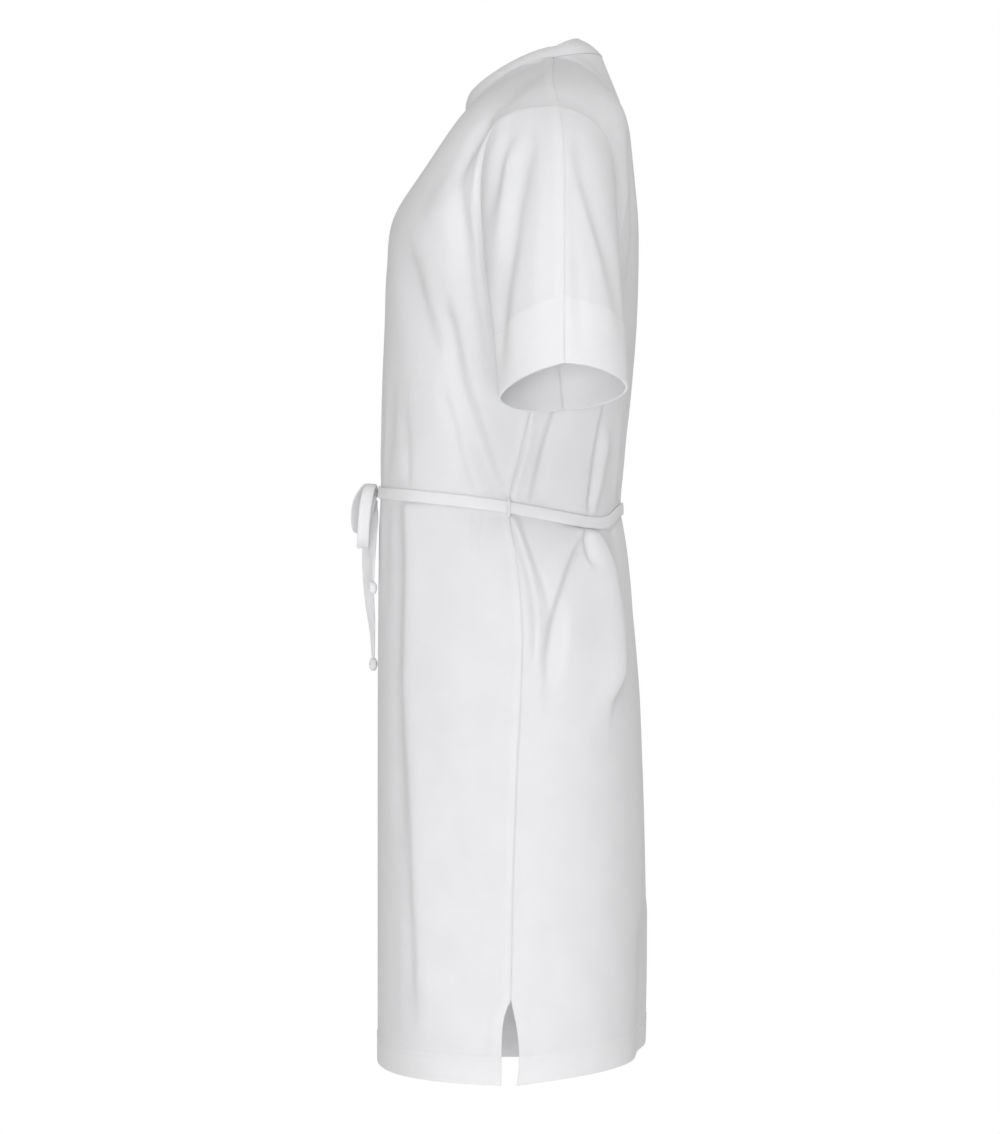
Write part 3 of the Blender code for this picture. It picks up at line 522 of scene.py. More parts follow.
LEFT_FOLDS = [
    (36, 63, 65, [(-370, -4267), (-316, -4428), (-253, -4625), (-208, -4831), (-173, -5073),
        (-164, -5413)]),
    (161, 36, 62, [(221, -4348), (105, -4587), (-3, -4914), (-65, -5139), (-119, -5431)]),
    (54, 134, -34, [(293, -4473), (185, -4670), (78, -4939), (-3, -5189), (-47, -5431), (-47, -5861)]),
    (134, 45, 100, [(347, -4348), (454, -4607), (535, -4876), (579, -5127), (597, -5413), (561, -5682),
        (481, -5896)]),
    (152, 98, -85, [(-1390, -1796), (-1319, -2011), (-1247, -2280), (-1157, -2548), (-1086, -2799)]),
    (98, 81, -95, [(-1005, -2369), (-960, -2548), (-907, -2817), (-844, -3085), (-746, -3354),
        (-656, -3623), (-584, -3846), (-486, -4043)]),
    (36, 107, -65, [(69, -3130), (-65, -3542), (-182, -4025)]),
    (161, 29, 42, [(427, -2996), (391, -3273), (343, -3479), (281, -3891), (257, -4213)]),
    (63, 125, 46, [(-1319, -4097), (-1292, -4607), (-1301, -5144), (-1310, -5771), (-1283, -6219),
        (-1247, -6756), (-1220, -7472), (-1184, -8188), (-1184, -8636)]),
    (116, 72, -50, [(-647, -686), (-799, -937), (-871, -1205), (-844, -1474), (-790, -1743), (-764, -2011),
        (-728, -2280), (-692, -2548), (-647, -2817), (-593, -3041)]),
    (27, 27, -13, [(-280, -4339), (-200, -4563), (-119, -4786), (-38, -5127)]),
    (27, 27, -50, [(266, -4348), (308, -4505), (356, -4652)]),
    (45, 63, 16, [(132, -5055), (150, -5221), (114, -5422), (33, -5753)]),
    (54, 45, -36, [(-1014, -3085), (-916, -3372), (-844, -3685), (-737, -4043)]),
    (27, 54, 30, [(-182, -3175), (-244, -3584), (-316, -3846), (-379, -4070)]),
    (27, 27, -24, [(409, -3399), (364, -3712), (329, -3981), (311, -4213)]),
    (36, 36, 30, [(481, -3533), (441, -3727), (400, -3954), (320, -4231)]),
    (54, 54, -40, [(-1417, -4070), (-1417, -4607), (-1417, -5144), (-1426, -5771), (-1417, -6398),
        (-1390, -7114)]),
    (36, 36, -22, [(-1381, -3175), (-1345, -3444), (-1336, -3712), (-1328, -3963)]),
    (27, 27, -12, [(-656, -4133), (-674, -4428)]),
    (27, 36, -8, [(-764, -4249), (-746, -4607)]),
    (125, 125, -16, [(-423, -5431), (-388, -5771)]),
    (107, 107, -8, [(-826, -5324), (-719, -5574)]),
    (90, 90, -12, [(-969, -6666), (-781, -7427)]),
    (125, 161, 8, [(-1113, -6756), (-1095, -8412)]),
    (45, 63, 12, [(-1372, -7830), (-1372, -8582)]),
    (155, 101, -55, [(-84, -109), (-361, -365), (-587, -593), (-779, -882), (-1034, -1187),
        (-1272, -1489)]),
    (55, 55, 22, [(-669, -602), (-824, -858), (-970, -1133), (-1126, -1361)]),
    (54, 45, 24, [(-576, -722), (-638, -937), (-692, -1205), (-728, -1474), (-710, -1743), (-683, -2011),
        (-665, -2280), (-638, -2548)]),
    (107, 90, -14, [(-826, -1519), (-862, -2190)]),
    (27, 45, -14, [(705, -1349), (633, -1698), (561, -1939)]),
    (27, 45, -14, [(723, -1832), (660, -2145), (597, -2441)]),
]
RIGHT_FOLDS = [
    (38, 73, 52, [(-364, -4267), (-319, -4436), (-275, -4643), (-230, -4859), (-213, -5113),
        (-228, -5470)]),
    (156, 44, 57, [(234, -4348), (105, -4609), (5, -4966), (-69, -5212), (-122, -5531)]),
    (60, 129, -27, [(299, -4467), (178, -4647), (54, -4894), (-30, -5124), (-86, -5346), (-111, -5740)]),
    (142, 52, 104, [(354, -4348), (455, -4617), (541, -4896), (611, -5157), (624, -5454), (605, -5733),
        (550, -5955)]),
    (183, 114, -88, [(-1398, -1754), (-1310, -1978), (-1213, -2258), (-1107, -2537), (-1046, -2798)]),
    (101, 95, -96, [(-991, -2400), (-959, -2589), (-886, -2872), (-830, -3155), (-731, -3438),
        (-629, -3722), (-539, -3957), (-452, -4164)]),
    (44, 97, -63, [(82, -3084), (-44, -3448), (-173, -3875)]),
    (178, 36, 35, [(432, -2995), (381, -3298), (318, -3523), (242, -3974), (234, -4326)]),
    (74, 151, 36, [(-1322, -4097), (-1305, -4645), (-1323, -5221), (-1342, -5894), (-1318, -6375),
        (-1289, -6952), (-1249, -7721), (-1240, -8489), (-1246, -8971)]),
    (123, 78, -42, [(-659, -702), (-803, -953), (-865, -1221), (-853, -1490), (-804, -1759), (-774, -2027),
        (-752, -2296), (-725, -2564), (-667, -2834), (-637, -3058)]),
    (26, 31, -10, [(-291, -4339), (-211, -4571), (-169, -4802), (-117, -5155)]),
    (27, 24, -39, [(259, -4348), (285, -4486), (301, -4616)]),
    (50, 65, 16, [(123, -5045), (165, -5206), (148, -5401), (60, -5722)]),
    (64, 50, -28, [(-1023, -3047), (-927, -3338), (-880, -3654), (-785, -4017)]),
    (25, 59, 26, [(-193, -3243), (-251, -3655), (-333, -3920), (-392, -4146)]),
    (31, 29, -21, [(409, -3378), (369, -3690), (312, -3958), (312, -4190)]),
    (36, 41, 23, [(491, -3570), (430, -3772), (368, -4009), (242, -4298)]),
    (61, 64, -36, [(-1425, -4070), (-1428, -4643), (-1413, -5217), (-1433, -5886), (-1415, -6556),
        (-1384, -7320)]),
    (42, 33, -18, [(-1372, -3146), (-1364, -3386), (-1357, -3625), (-1352, -3849)]),
    (24, 33, -11, [(-662, -4133), (-667, -4455)]),
    (31, 41, -7, [(-767, -4249), (-776, -4621)]),
    (145, 114, -15, [(-412, -5407), (-381, -5708)]),
    (134, 123, -7, [(-839, -5266), (-736, -5525)]),
    (87, 81, -10, [(-972, -6715), (-831, -7388)]),
    (128, 162, 7, [(-1112, -6786), (-1100, -8353)]),
    (55, 59, 9, [(-1378, -7781), (-1449, -8460)]),
    (175, 115, -55, [(-85, -99), (-356, -364), (-568, -600), (-761, -900), (-988, -1216), (-1229, -1528)]),
    (54, 54, 23, [(-677, -649), (-810, -888), (-940, -1146), (-1076, -1359)]),
    (50, 55, 20, [(-581, -787), (-651, -1021), (-689, -1313), (-755, -1605), (-721, -1898), (-710, -2190),
        (-701, -2483), (-674, -2775)]),
    (109, 82, -13, [(-820, -1551), (-853, -2148)]),
    (26, 44, -14, [(698, -1396), (644, -1723), (588, -1948)]),
    (25, 45, -12, [(733, -1899), (633, -2194), (567, -2472)]),
]
BACK_FOLDS = [
    (450, 450, -70, [(500, -8000), (650, -9400)]),
    (500, 500, 60, [(-700, -7800), (-850, -9400)]),
    (120, 120, -45, [(620, -3300), (480, -4020)]),
    (120, 140, -40, [(-450, -3250), (-380, -4020)]),
    (120, 140, 15, [(400, -4240), (520, -5100)]),
    (140, 120, 15, [(-550, -4240), (-660, -5200)]),
    (60, 80, -25, [(150, -3450), (130, -4030)]),
    (80, 60, -30, [(-900, -3300), (-760, -4030)]),
    (60, 80, 28, [(960, -3400), (830, -4030)]),
    (80, 60, -26, [(-100, -4220), (-150, -4900)]),
    (70, 90, -30, [(880, -4220), (1000, -4950)]),
    (90, 70, -28, [(-980, -4220), (-1120, -5000)]),
    (120, 160, -30, [(1500, -900), (1250, -2000)]),
    (140, 140, -30, [(-1520, -850), (-1220, -2050)]),
]
FRONT_FOLDS = [
    (70, 90, -26, [(420, -3300), (300, -3880)]),
    (90, 70, -30, [(-560, -3150), (-420, -3880)]),
    (80, 100, -28, [(880, -3100), (740, -3900)]),
    (80, 80, 24, [(-980, -3200), (-820, -3900)]),
    (70, 70, -22, [(300, -4080), (360, -4700)]),
    (80, 70, -28, [(-260, -4080), (-340, -4850)]),
    (70, 80, 22, [(-700, -4100), (-780, -4760)]),
    (80, 80, -24, [(780, -4100), (880, -4980)]),
]
LEFT_SLEEVE_FOLDS = [
    (52, 70, -60, [(-416, -829), (-495, -1022), (-556, -1284), (-608, -1547)]),
    (52, 52, 26, [(-416, -1022), (-460, -1372), (-503, -1722), (-538, -2002)]),
    (114, 87, -85, [(-259, -952), (-329, -1284), (-381, -1547), (-416, -1809), (-460, -2072), (-503, -2334),
        (-530, -2597), (-538, -2859)]),
    (79, 122, 30, [(-92, -1372), (-154, -1984), (-154, -2422)]),
    (79, 105, -42, [(188, -978), (258, -1284), (345, -1547), (424, -1809), (511, -2072), (581, -2334),
        (625, -2597)]),
    (44, 70, -34, [(83, -1415), (118, -1809), (161, -2072), (179, -2334), (205, -2597)]),
    (52, 52, 16, [(144, -1197), (249, -1529), (354, -1897), (406, -2203)]),
]
RIGHT_SLEEVE_FOLDS = [
    (54, 63, -56, [(-421, -861), (-483, -1031), (-553, -1261), (-598, -1493)]),
    (62, 56, 23, [(-417, -990), (-474, -1336), (-510, -1682), (-564, -1959)]),
    (124, 96, -88, [(-260, -957), (-330, -1289), (-379, -1553), (-395, -1815), (-428, -2079), (-455, -2341),
        (-487, -2604), (-468, -2867)]),
    (98, 119, 23, [(-77, -1316), (-174, -1881), (-227, -2285)]),
    (83, 126, -33, [(187, -998), (241, -1325), (333, -1606), (392, -1885), (478, -2166), (529, -2446),
        (580, -2726)]),
    (48, 78, -27, [(76, -1416), (97, -1817), (146, -2085), (148, -2352), (149, -2620)]),
    (57, 51, 14, [(152, -1204), (236, -1510), (351, -1849), (388, -2131)]),
]
FOLDS = {
    "left": in_metres(LEFT_FOLDS),
    "right": in_metres(RIGHT_FOLDS),
    "front": in_metres(FRONT_FOLDS),
    "back": in_metres(BACK_FOLDS),
}
SLEEVE_FOLDS = {"left": in_metres(LEFT_SLEEVE_FOLDS), "right": in_metres(RIGHT_SLEEVE_FOLDS)}


def fold_rise(folds, points, view):
    """How far the folds seen from one side push each point out."""
    across = points[..., 1] if view in ("left", "right") else points[..., 0]
    height = points[..., 2]
    rise = np.zeros(points.shape[:-1])
    for fold in folds[view]:
        path = fold.path[::-1]
        (low_end, low), (high_end, high) = path[0], path[-1]
        slant = np.hypot(1.0, (high_end - low_end) / (high - low))
        away = (across - through(path[:, 1], path[:, 0], height)) / slant
        width = np.where(away < 0, fold.before, fold.after)
        fade = min(FADE_SHARE * (high - low), LONGEST_FADE)
        ends = smooth_step(low - fade, low + fade, height)
        ends = ends * (1 - smooth_step(high - fade * 0.5, high + fade, height))
        rise += fold.rise * ends * np.exp(-((away / width) ** 2))
    return rise


def grid_normals(points, outward):
    """Directions square to the grid, on the side that outward points to."""
    along = np.gradient(points, axis=0)
    across = np.gradient(points, axis=1)
    normals = np.cross(across, along)
    normals /= np.linalg.norm(normals, axis=-1, keepdims=True) + 1e-12
    facing = np.sum(normals * outward)
    return normals if facing > 0 else -normals


print("folds", {view: len(rows) for view, rows in FOLDS.items()}, "on the panels")

# %% [markdown]
# A panel is a fine grid laid on the surface. Its columns stand closest together at the
# side seams, where most of the folds are, and the rows that the belt covers stay flat. The
# panel could be left coarse and subdivided, but then its edges would move off the seams.

# %% Panels
NEAR_A_SEAM = np.array([0.0, 0.0007, 0.0014, 0.0022, 0.0031, 0.0042, 0.0056, 0.0075])
NECK_STEPS = 14
SHOULDER_STEPS = 52
YOKE_STEPS = 44
QUARTER_GIRTH = 0.27
SIDE_FOLDS = (0.20, 0.50)
OFF_THE_SEAM = 0.012
HEM_ROWS = 6
SKIRT_ROWS = 46
HIP_ROWS = 84
BELT_ROWS = 5
RIB_ROWS = 60


def panel_shares():
    """Columns from the right side seam to the left one, closest together at the seams."""
    neck = np.linspace(0, NECK_SHARE, NECK_STEPS + 1)
    seam = 1 - NEAR_A_SEAM[::-1] / QUARTER_GIRTH
    side = np.linspace(NECK_SHARE, seam[0], SHOULDER_STEPS)[1:-1]
    half = np.concatenate([neck, side, seam])
    return np.concatenate([-half[:0:-1], half])


def yoke_reaches():
    low = NEAR_A_SEAM
    high = TOP_REACH - NEAR_A_SEAM[::-1]
    between = np.linspace(low[-1], high[0], YOKE_STEPS)[1:-1]
    return np.concatenate([low, between, high])


def panel_levels():
    """Rows from the hem up, closest together at the hem's edge, its fold and the armhole."""
    half_belt = BELT_WIDTH / 2
    edge = HEM_Z + np.array([0.0, 0.0008, 0.0018, 0.0035])
    fold = HEM_Z + HEM_DEPTH + np.array([-0.004, -0.0026, -0.0013, 0.0, 0.0013, 0.0026, 0.004])
    skirt = np.linspace(fold[-1], HIP_Z, SKIRT_ROWS)[1:]
    hip = np.linspace(HIP_Z, BELT_BASE_Z - half_belt, HIP_ROWS)[1:]
    waist = np.linspace(BELT_BASE_Z - half_belt, BELT_BASE_Z + half_belt, BELT_ROWS)[1:]
    ribs = np.linspace(BELT_BASE_Z + half_belt, UNDERARM_Z, RIB_ROWS)[1:]
    hem = np.linspace(edge[-1], fold[0], HEM_ROWS)[1:-1]
    yoke = UNDERARM_Z + yoke_reaches()[1:]
    return np.concatenate([edge, hem, fold, skirt, hip, waist, ribs, yoke])


def panel_grid(side, shares, levels):
    """A panel with its folds, which fade out at the belt, the shoulder and the armholes."""
    points = panel_surface(side, shares, levels)
    outward = np.zeros_like(points)
    outward[..., 1] = side
    normals = grid_normals(points, outward)
    u, level = np.meshgrid(shares, levels)
    sideways = smooth_step(*SIDE_FOLDS, np.abs(u))
    view = {
        "left": sideways * (u > 0),
        "right": sideways * (u < 0),
        "front": 1.0 * (side < 0),
        "back": 1.0 * (side > 0),
    }
    off_shoulder = smooth_step(0, OFF_THE_SEAM, UNDERARM_Z + TOP_REACH - level)
    in_yoke = smooth_step(UNDERARM_Z - 0.02, UNDERARM_Z, level)
    off_armhole = 1 - in_yoke * (1 - smooth_step(0, OFF_THE_SEAM, (1 - np.abs(u)) * QUARTER_GIRTH))
    held = smooth_step(BELT_WIDTH / 2, BELT_WIDTH, np.abs(level - BELT_BASE_Z))
    for name, share in view.items():
        rise = fold_rise(FOLDS, points, name) * share * off_shoulder * off_armhole * held
        points = points + normals * rise[..., None]
    return points


SHARES = panel_shares()
LEVELS = panel_levels()
front_points = panel_grid(-1, SHARES, LEVELS)
back_points = panel_grid(1, SHARES, LEVELS)
sewn = (LEVELS >= SLIT_TOP_Z - 1e-6) & (LEVELS <= UNDERARM_Z + 1e-6)
for edge in (0, -1):
    middle = (front_points[sewn, edge] + back_points[sewn, edge]) / 2
    front_points[sewn, edge] = middle
    back_points[sewn, edge] = middle
print("panel grid", front_points.shape)

# %% [markdown]
# Each sleeve is two halves. A half runs from its side of the armhole down to its side of
# the hem, leaving the shoulder in the shoulder's own direction and arriving along the arm.
# One bent tube would be simpler, but two halves keep the seams where a maker sews them.

# %% Sleeves
FORWARD = np.array([0.0, -1.0, 0.0])
SLEEVE_HEM_CENTRE = (0.2485, 0.0075, -0.3085)
SLEEVE_HEM_OUT = (0.0515, 0.0, 0.0185)
SLEEVE_HEM_FRONT = (0.0, -0.0575, -0.0100)
SLEEVE_HEM_BACK = (0.0, 0.0560, -0.0010)
SLEEVE_AXIS = (0.30, 0.03, -0.953)
SLEEVE_LENGTH = 0.26
LEAVING_AT = (0.0, 0.3, 0.6, 1.0)
LEAVING = [(0.80, 0.10, -0.60), (0.62, 0.04, -0.78), (0.40, 0.0, -0.92), (0.30, 0.05, -0.95)]
HEM_POINTED = 0.30
CUFF_SLACK = 1.04
LARGEST_CUFF = 0.6
UPPER_ROWS = 44
CUFF_ROWS = 14
OFF_TOP_SEAM = 0.35
OFF_UNDERARM_SEAM = 0.2


def sleeve_steps():
    """Rows from the armhole (0) to the hem (1), close together at both and at the cuff's top."""
    first = NEAR_A_SEAM / SLEEVE_LENGTH
    last = 1 - NEAR_A_SEAM[::-1] / SLEEVE_LENGTH
    cuff = 1 - CUFF_DEPTH / SLEEVE_LENGTH + np.linspace(-0.006, 0.006, 11) / SLEEVE_LENGTH
    upper = np.linspace(first[-1], cuff[0], UPPER_ROWS)[1:-1]
    lower = np.linspace(cuff[-1], last[0], CUFF_ROWS)[1:-1]
    return np.concatenate([first, upper, cuff, lower, last])


def sleeve_grid(side, hand, armhole):
    """One half of a sleeve, from its side of the armhole down to its side of the hem."""
    share = 1 - yoke_reaches()[::-1] / TOP_REACH
    turn = math.pi * share[:, None]
    edge = np.array(SLEEVE_HEM_FRONT if side < 0 else SLEEVE_HEM_BACK)
    across = np.cos(turn) * (1 - HEM_POINTED * (1 - np.abs(np.cos(turn))))
    hem = np.array(SLEEVE_HEM_CENTRE) + across * SLEEVE_HEM_OUT + np.sin(turn) * edge
    start = armhole * (hand, 1, 1)
    reach = np.linalg.norm(hem - start, axis=-1, keepdims=True)
    leave = through(LEAVING_AT, LEAVING, share)
    fold = 1 - CUFF_DEPTH / SLEEVE_LENGTH
    cuff = np.minimum(CUFF_DEPTH / (CUFF_SLACK * reach), LARGEST_CUFF)
    rows = []
    for step in sleeve_steps():
        t = step * (1 - cuff) / fold if step < fold else 1 - (1 - step) * cuff / (1 - fold)
        rows.append(bend(start, leave, hem, np.array(SLEEVE_AXIS), reach, t) * (hand, 1, 1))
    points = np.array(rows)
    normals = grid_normals(points, FORWARD * -side)
    outer = smooth_step(0.0, 0.5, normals[..., 0] * hand)
    off_armhole = smooth_step(0, OFF_THE_SEAM, sleeve_steps() * SLEEVE_LENGTH)[:, None]
    off_seam = smooth_step(0, OFF_TOP_SEAM, turn[:, 0])
    off_seam = off_seam * smooth_step(0, OFF_UNDERARM_SEAM, math.pi - turn[:, 0])
    view = "left" if hand > 0 else "right"
    rise = fold_rise(SLEEVE_FOLDS, points, view) * outer * off_armhole * off_seam
    return points + normals * rise[..., None]


print("rows of a sleeve", len(sleeve_steps()))

# %% [markdown]
# The neckband is a doubled strip that stands on the neck seam and leans in at the back. A
# ring swept round the neck would not meet the seam, so it is a grid between the seam's own
# points and a top edge, swollen a little in between as doubled cloth is.

# %% Neckband
BAND_HALF_WIDTH = 0.076
BAND_FRONT = (-0.0757, -0.0228)
BAND_SIDE = (0.0030, 0.0118)
BAND_BACK = (0.0264, 0.0250)
BAND_WALL = 0.0024
BAND_SWELL = 0.0016
SWELL_UP = 0.6
BAND_ROWS = 9


def neckband_grid(front, back, shares):
    """The strip from the neck seam to its top edge, once round the neck and a little swollen."""
    inside = np.abs(shares) <= NECK_SHARE + 1e-9
    seam = np.concatenate([front[-1, inside], back[-1, inside][::-1][1:]])
    turn_front = shares[inside] / NECK_SHARE * math.pi / 2
    turn = np.concatenate([turn_front, (math.pi - turn_front[::-1])[1:]])
    ahead = np.clip(np.cos(turn), 0, None)
    behind = np.clip(-np.cos(turn), 0, None)
    (side_y, side_z), (front_y, front_z), (back_y, back_z) = BAND_SIDE, BAND_FRONT, BAND_BACK
    y = side_y + (front_y - side_y) * ahead + (back_y - side_y) * behind
    z = side_z + (front_z - side_z) * ahead**1.5 + (back_z - side_z) * behind
    top = np.stack([BAND_HALF_WIDTH * np.sin(turn), y, z], -1)
    swell_way = np.stack([np.sin(turn), -np.cos(turn), SWELL_UP * np.ones_like(turn)], -1)
    rows = []
    for share in np.linspace(0, 1, BAND_ROWS):
        swell = swell_way * BAND_SWELL * math.sin(math.pi * share)
        rows.append(seam * (1 - share) + top * share + swell)
    return np.array(rows)


# %% [markdown]
# A wall is made by extruding the whole grid once and moving the new points in by the
# cloth's thickness. Where pieces run on smoothly over a seam they share their normals, so
# that their edges meet face to face. Each wall thickened alone would leave a wedge open.

# %% Neighbouring pieces
Piece = namedtuple("Piece", "name points normals wall doubled closed")
SAME_WAY = 0.75


def share_seam_normals(pieces):
    """Give pieces that meet at an edge the same normals there, as long as they face alike."""
    met = {}
    for item in pieces:
        rows, columns = item.points.shape[:2]
        rim = [(i, j) for i in (0, rows - 1) for j in range(columns)]
        rim += [(i, j) for i in range(1, rows - 1) for j in (0, columns - 1)]
        for i, j in rim:
            key = tuple(np.round(item.points[i, j] * 1e5).astype(int))
            met.setdefault(key, []).append((item, i, j))
    for places in met.values():
        own = [item.normals[i, j].copy() for item, i, j in places]
        for (item, i, j), normal in zip(places, own):
            total = sum(other for other in own if other @ normal > SAME_WAY)
            total = total / np.linalg.norm(total)
            item.normals[i, j] = total / (total @ normal)
    print("rim points shared by pieces", sum(len(places) > 1 for places in met.values()))


def run_along(line):
    """How far each point of a line lies from its first point, measured along it."""
    return np.concatenate([[0.0], np.cumsum(np.linalg.norm(np.diff(line, axis=0), axis=-1))])


def distances(points):
    """How far each grid point lies from the first column and the first row, in metres."""
    across = np.linalg.norm(np.diff(points, axis=1), axis=-1)
    along = np.linalg.norm(np.diff(points, axis=0), axis=-1)
    x = np.concatenate([np.zeros((points.shape[0], 1)), np.cumsum(across, axis=1)], axis=1)
    y = np.concatenate([np.zeros((1, points.shape[1])), np.cumsum(along, axis=0)], axis=0)
    return x, y


# %% [markdown]
# A pressed seam shows as a fine groove with a soft, raised strip beside it, where the
# allowance lies underneath. At a folded hem the edge is rounded and the doubled cloth
# stands a little proud. These are small movements of the grid along its normals. Bump in
# the material could draw them, but real relief also shows where the cloth turns away.

# %% Seams and folded edges
GROOVE_DEPTH = 0.0005
GROOVE_WIDTH = 0.0011
ALLOWANCE_RISE = 0.0005
ALLOWANCE_MIDDLE = 0.0020
ALLOWANCE_WIDTH = 0.0040
ALLOWANCE_REACH = 0.0072
ALLOWANCE_EDGE = 0.0008
DOUBLED_RISE = 0.0005
Seam = namedtuple("Seam", "groove pressed")


def seam_relief(away, seam):
    """A groove at the seam, and the rise where its allowance is pressed under this piece."""
    groove = -GROOVE_DEPTH * seam.groove * np.exp(-away / GROOVE_WIDTH)
    strip = ALLOWANCE_RISE * np.exp(-(((away - ALLOWANCE_MIDDLE) / ALLOWANCE_WIDTH) ** 2))
    return groove + seam.pressed * strip


def relieved(item, seams):
    """The piece with a seam along each named edge: left, right, bottom or top."""
    x, y = distances(item.points)
    away = {"left": x, "right": x[:, -1:] - x, "bottom": y, "top": y[-1:] - y}
    rise = DOUBLED_RISE * item.doubled
    layers = item.doubled
    for edge, seam in seams.items():
        rise = rise + seam_relief(away[edge], seam)
        past = away[edge] - ALLOWANCE_REACH
        under = 1 - smooth_step(-ALLOWANCE_EDGE, ALLOWANCE_EDGE, past)
        layers = np.maximum(layers, min(1.0, seam.pressed) * under)
    return item._replace(points=item.points + item.normals * rise[..., None], doubled=layers)


print("seam groove", GROOVE_DEPTH, "m deep, hem", DOUBLED_RISE, "m proud")

# %% [markdown]
# Now a grid becomes cloth: a flat mesh is laid on its points and the whole is extruded
# inwards. Each edge stops a hair's breadth short of the seam, so that two pieces never
# share a face. The mesh carries its own map in metres and the `doubled` attribute.

# %% From grid to cloth
DOUBLED_WALL = 0.35


def pulled_in(points, closed):
    """The grid with its edges moved in by half of the gap between two pieces."""
    result = points.copy()
    edges = [(0, 1, 0), (-1, -2, 0)] + ([] if closed else [(0, 1, 1), (-1, -2, 1)])
    for edge, inner, axis in edges:
        at = [slice(None)] * 2
        to = [slice(None)] * 2
        at[axis] = edge
        to[axis] = inner
        pull = points[tuple(to)] - points[tuple(at)]
        pull /= np.linalg.norm(pull, axis=-1, keepdims=True)
        result[tuple(at)] += pull * EDGE_GAP / 2
    return result


def finish_mesh(shell, name, material, edge_angle=50):
    bmesh.ops.recalc_face_normals(shell, faces=list(shell.faces))
    mesh = bpy.data.meshes.new(name)
    shell.to_mesh(mesh)
    shell.free()
    mesh.materials.append(material)
    mesh.shade_smooth()
    mesh.set_sharp_from_angle(angle=math.radians(edge_angle))
    made = bpy.data.objects.new(name, mesh)
    bpy.context.scene.collection.objects.link(made)
    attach(made, "root")
    return made


def lay_grid(sheet, points, map_x, map_y):
    """Lay a flat grid of faces on the points with its map, and hand out each vertex."""
    rows, columns = points.shape[:2]
    bmesh.ops.create_grid(sheet, x_segments=columns - 1, y_segments=rows - 1, size=0.5)
    cloth_map = sheet.loops.layers.uv.new("cloth")
    for vertex in sheet.verts:
        i = round((vertex.co.y + 0.5) * (rows - 1))
        j = round((vertex.co.x + 0.5) * (columns - 1))
        vertex.co = points[i, j]
        for loop in vertex.link_loops:
            loop[cloth_map].uv = (map_x[i, j], map_y[i, j])
        yield vertex, i, j


def make_shell(item):
    outer = pulled_in(item.points, item.closed)
    wall = item.wall * (1 + DOUBLED_WALL * item.doubled)
    inner = outer - item.normals * wall[..., None]
    columns = outer.shape[1]
    map_x, map_y = distances(item.points)
    map_x = map_x - map_x[:, columns // 2][:, None]
    shell = bmesh.new()
    tag = shell.verts.layers.int.new("place")
    doubled = shell.verts.layers.float.new("doubled")
    for vertex, i, j in lay_grid(shell, outer, map_x, map_y):
        vertex[tag] = i * columns + j
        vertex[doubled] = float(item.doubled[i, j])
    if item.closed:
        bmesh.ops.remove_doubles(shell, verts=list(shell.verts), dist=1e-6)
    made = bmesh.ops.extrude_face_region(shell, geom=list(shell.faces))
    for vertex in made["geom"]:
        if isinstance(vertex, bmesh.types.BMVert):
            i, j = divmod(vertex[tag], columns)
            vertex.co = inner[i, j]
    return finish_mesh(shell, item.name, JERSEY)


def cloth_piece(name, points, outward, doubled, closed=False, wall=WALL):
    normals = grid_normals(points, outward)
    return Piece(name, points, normals, wall, doubled, closed)


print("gap between two pieces", EDGE_GAP, "m")

# %% [markdown]
# Cut the pieces: front, back, four sleeve halves and the neckband. The hem of the skirt is
# turned up 2.6 cm and that of the sleeve 6 cm, so those zones are doubled. The inner layer
# isn't a piece of its own, because it lies hidden against the outer one.

# %% Cut the cloth
HEM_EDGE = 0.0010
CUFF_EDGE = 0.0007


def hem_zone(points):
    rise = distances(points)[1]
    return 1 - smooth_step(HEM_DEPTH - HEM_EDGE, HEM_DEPTH + HEM_EDGE, rise)


def cuff_zone(points):
    past = (sleeve_steps() - 1) * SLEEVE_LENGTH + CUFF_DEPTH
    share = smooth_step(-CUFF_EDGE, CUFF_EDGE, past)
    return np.repeat(share[:, None], points.shape[1], axis=1)


pieces = {
    "front": cloth_piece("front_cloth", front_points, FORWARD, hem_zone(front_points)),
    "back": cloth_piece("back_cloth", back_points, -FORWARD, hem_zone(back_points)),
}
for hand, word in ((1, "left"), (-1, "right")):
    seam_column = -1 if hand > 0 else 0
    for side, half, panel in ((-1, "front", front_points), (1, "back", back_points)):
        armhole = panel[-len(yoke_reaches()):, seam_column][::-1]
        points = sleeve_grid(side, hand, armhole)
        name = f"sleeve_{word}_{half}"
        pieces[name] = cloth_piece(f"{name}_cloth", points, FORWARD * -side, cuff_zone(points))
band_points = neckband_grid(front_points, back_points, SHARES)
band_out = band_points - band_points.mean(axis=(0, 1))
pieces["neckband"] = cloth_piece(
    "neckband_cloth", band_points, band_out, np.ones(band_points.shape[:2]), closed=True, wall=BAND_WALL
)
share_seam_normals(pieces.values())
print("cut", len(pieces), "pieces")

# %% [markdown]
# The seams are pressed so that the allowance lies under the front panel at the shoulder
# and at the sides, and under the sleeve at the armhole. Every seam says how deep its
# groove is and how much its allowance shows.

